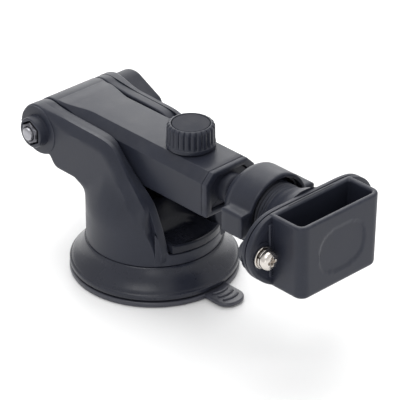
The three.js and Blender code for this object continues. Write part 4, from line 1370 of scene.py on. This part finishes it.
class MakeArm(bpy.types.Operator):
    """Make the arm's channel with its barrel, and the frame round its mouth"""

    bl_idname = "mount.arm"
    bl_label = "Arm"

    def execute(self, context):
        build_arm()
        return {"FINISHED"}


class MakeSlidePlate(bpy.types.Operator):
    """Make the plate on the end of the inner arm"""

    bl_idname = "mount.slide_plate"
    bl_label = "Slide end plate"

    def execute(self, context):
        build_slide_plate()
        return {"FINISHED"}


class MakeSlideKnob(bpy.types.Operator):
    """Make the fluted knob that locks the slide"""

    bl_idname = "mount.slide_knob"
    bl_label = "Slide knob"

    def execute(self, context):
        build_slide_knob()
        return {"FINISHED"}


class MakeBallStud(bpy.types.Operator):
    """Make the ball with its neck and shoulder"""

    bl_idname = "mount.ball_stud"
    bl_label = "Ball stud"

    def execute(self, context):
        build_ball_stud()
        return {"FINISHED"}


class MakeLockNut(bpy.types.Operator):
    """Make the winged lock nut"""

    bl_idname = "mount.lock_nut"
    bl_label = "Lock nut"

    def execute(self, context):
        build_lock_nut()
        return {"FINISHED"}


class MakeSocketPlate(bpy.types.Operator):
    """Make the socket with its plate and bosses"""

    bl_idname = "mount.socket_plate"
    bl_label = "Socket and plate"

    def execute(self, context):
        build_socket_plate()
        return {"FINISHED"}


class MakeHolder(bpy.types.Operator):
    """Make the open-topped holder with its ears"""

    bl_idname = "mount.holder"
    bl_label = "Holder"

    def execute(self, context):
        build_holder()
        return {"FINISHED"}


class MakePlateScrews(bpy.types.Operator):
    """Make the plate's screws and washers"""

    bl_idname = "mount.plate_screws"
    bl_label = "Plate screws"

    def execute(self, context):
        build_plate_screws()
        return {"FINISHED"}


class FinishNodes(bpy.types.Operator):
    """Give the frame's remaining pieces their finishes"""

    bl_idname = "mount.finish_nodes"
    bl_label = "Finishes"

    def execute(self, context):
        finish_nodes()
        return {"FINISHED"}


class MakeStage(bpy.types.Operator):
    """Make the floor, lights and camera"""

    bl_idname = "mount.stage"
    bl_label = "Studio"

    def execute(self, context):
        build_stage()
        return {"FINISHED"}


OPERATORS = (
    MakeCup,
    MakeSkirt,
    MakeBody,
    MakeCovers,
    MakeLever,
    MakePivot,
    MakeArm,
    MakeSlidePlate,
    MakeSlideKnob,
    MakeBallStud,
    MakeLockNut,
    MakeSocketPlate,
    MakeHolder,
    MakePlateScrews,
    FinishNodes,
    MakeStage,
)


class MountPanel(bpy.types.Panel):
    """Lists the pieces and their settings"""

    bl_idname = "VIEW3D_PT_mount"
    bl_label = "Dash camera mount"
    bl_space_type = "VIEW_3D"
    bl_region_type = "UI"
    bl_category = "Mount"

    def draw(self, context):
        column = self.layout.column()
        for operator in OPERATORS:
            column.operator(operator.bl_idname)
        for settings in (context.scene.mount_sizes, context.scene.mount_colours, context.scene.mount_studio):
            box = self.layout.box()
            for key in settings.__annotations__:
                box.prop(settings, key)


CLASSES = (MountSizes, MountColours, StudioSettings, *OPERATORS, MountPanel)


def register():
    """Registers the classes and their settings on the scene."""
    for item in CLASSES:
        bpy.utils.register_class(item)
    bpy.types.Scene.mount_sizes = PointerProperty(type=MountSizes)
    bpy.types.Scene.mount_colours = PointerProperty(type=MountColours)
    bpy.types.Scene.mount_studio = PointerProperty(type=StudioSettings)


def unregister():
    """Takes them off again."""
    del bpy.types.Scene.mount_studio
    del bpy.types.Scene.mount_colours
    del bpy.types.Scene.mount_sizes
    for item in reversed(CLASSES):
        bpy.utils.unregister_class(item)


def main():
    """Makes every piece in order."""
    register()
    for operator in OPERATORS:
        group, name = operator.bl_idname.split(".")
        getattr(getattr(bpy.ops, group), name)()


if __name__ == "__main__":
    main()
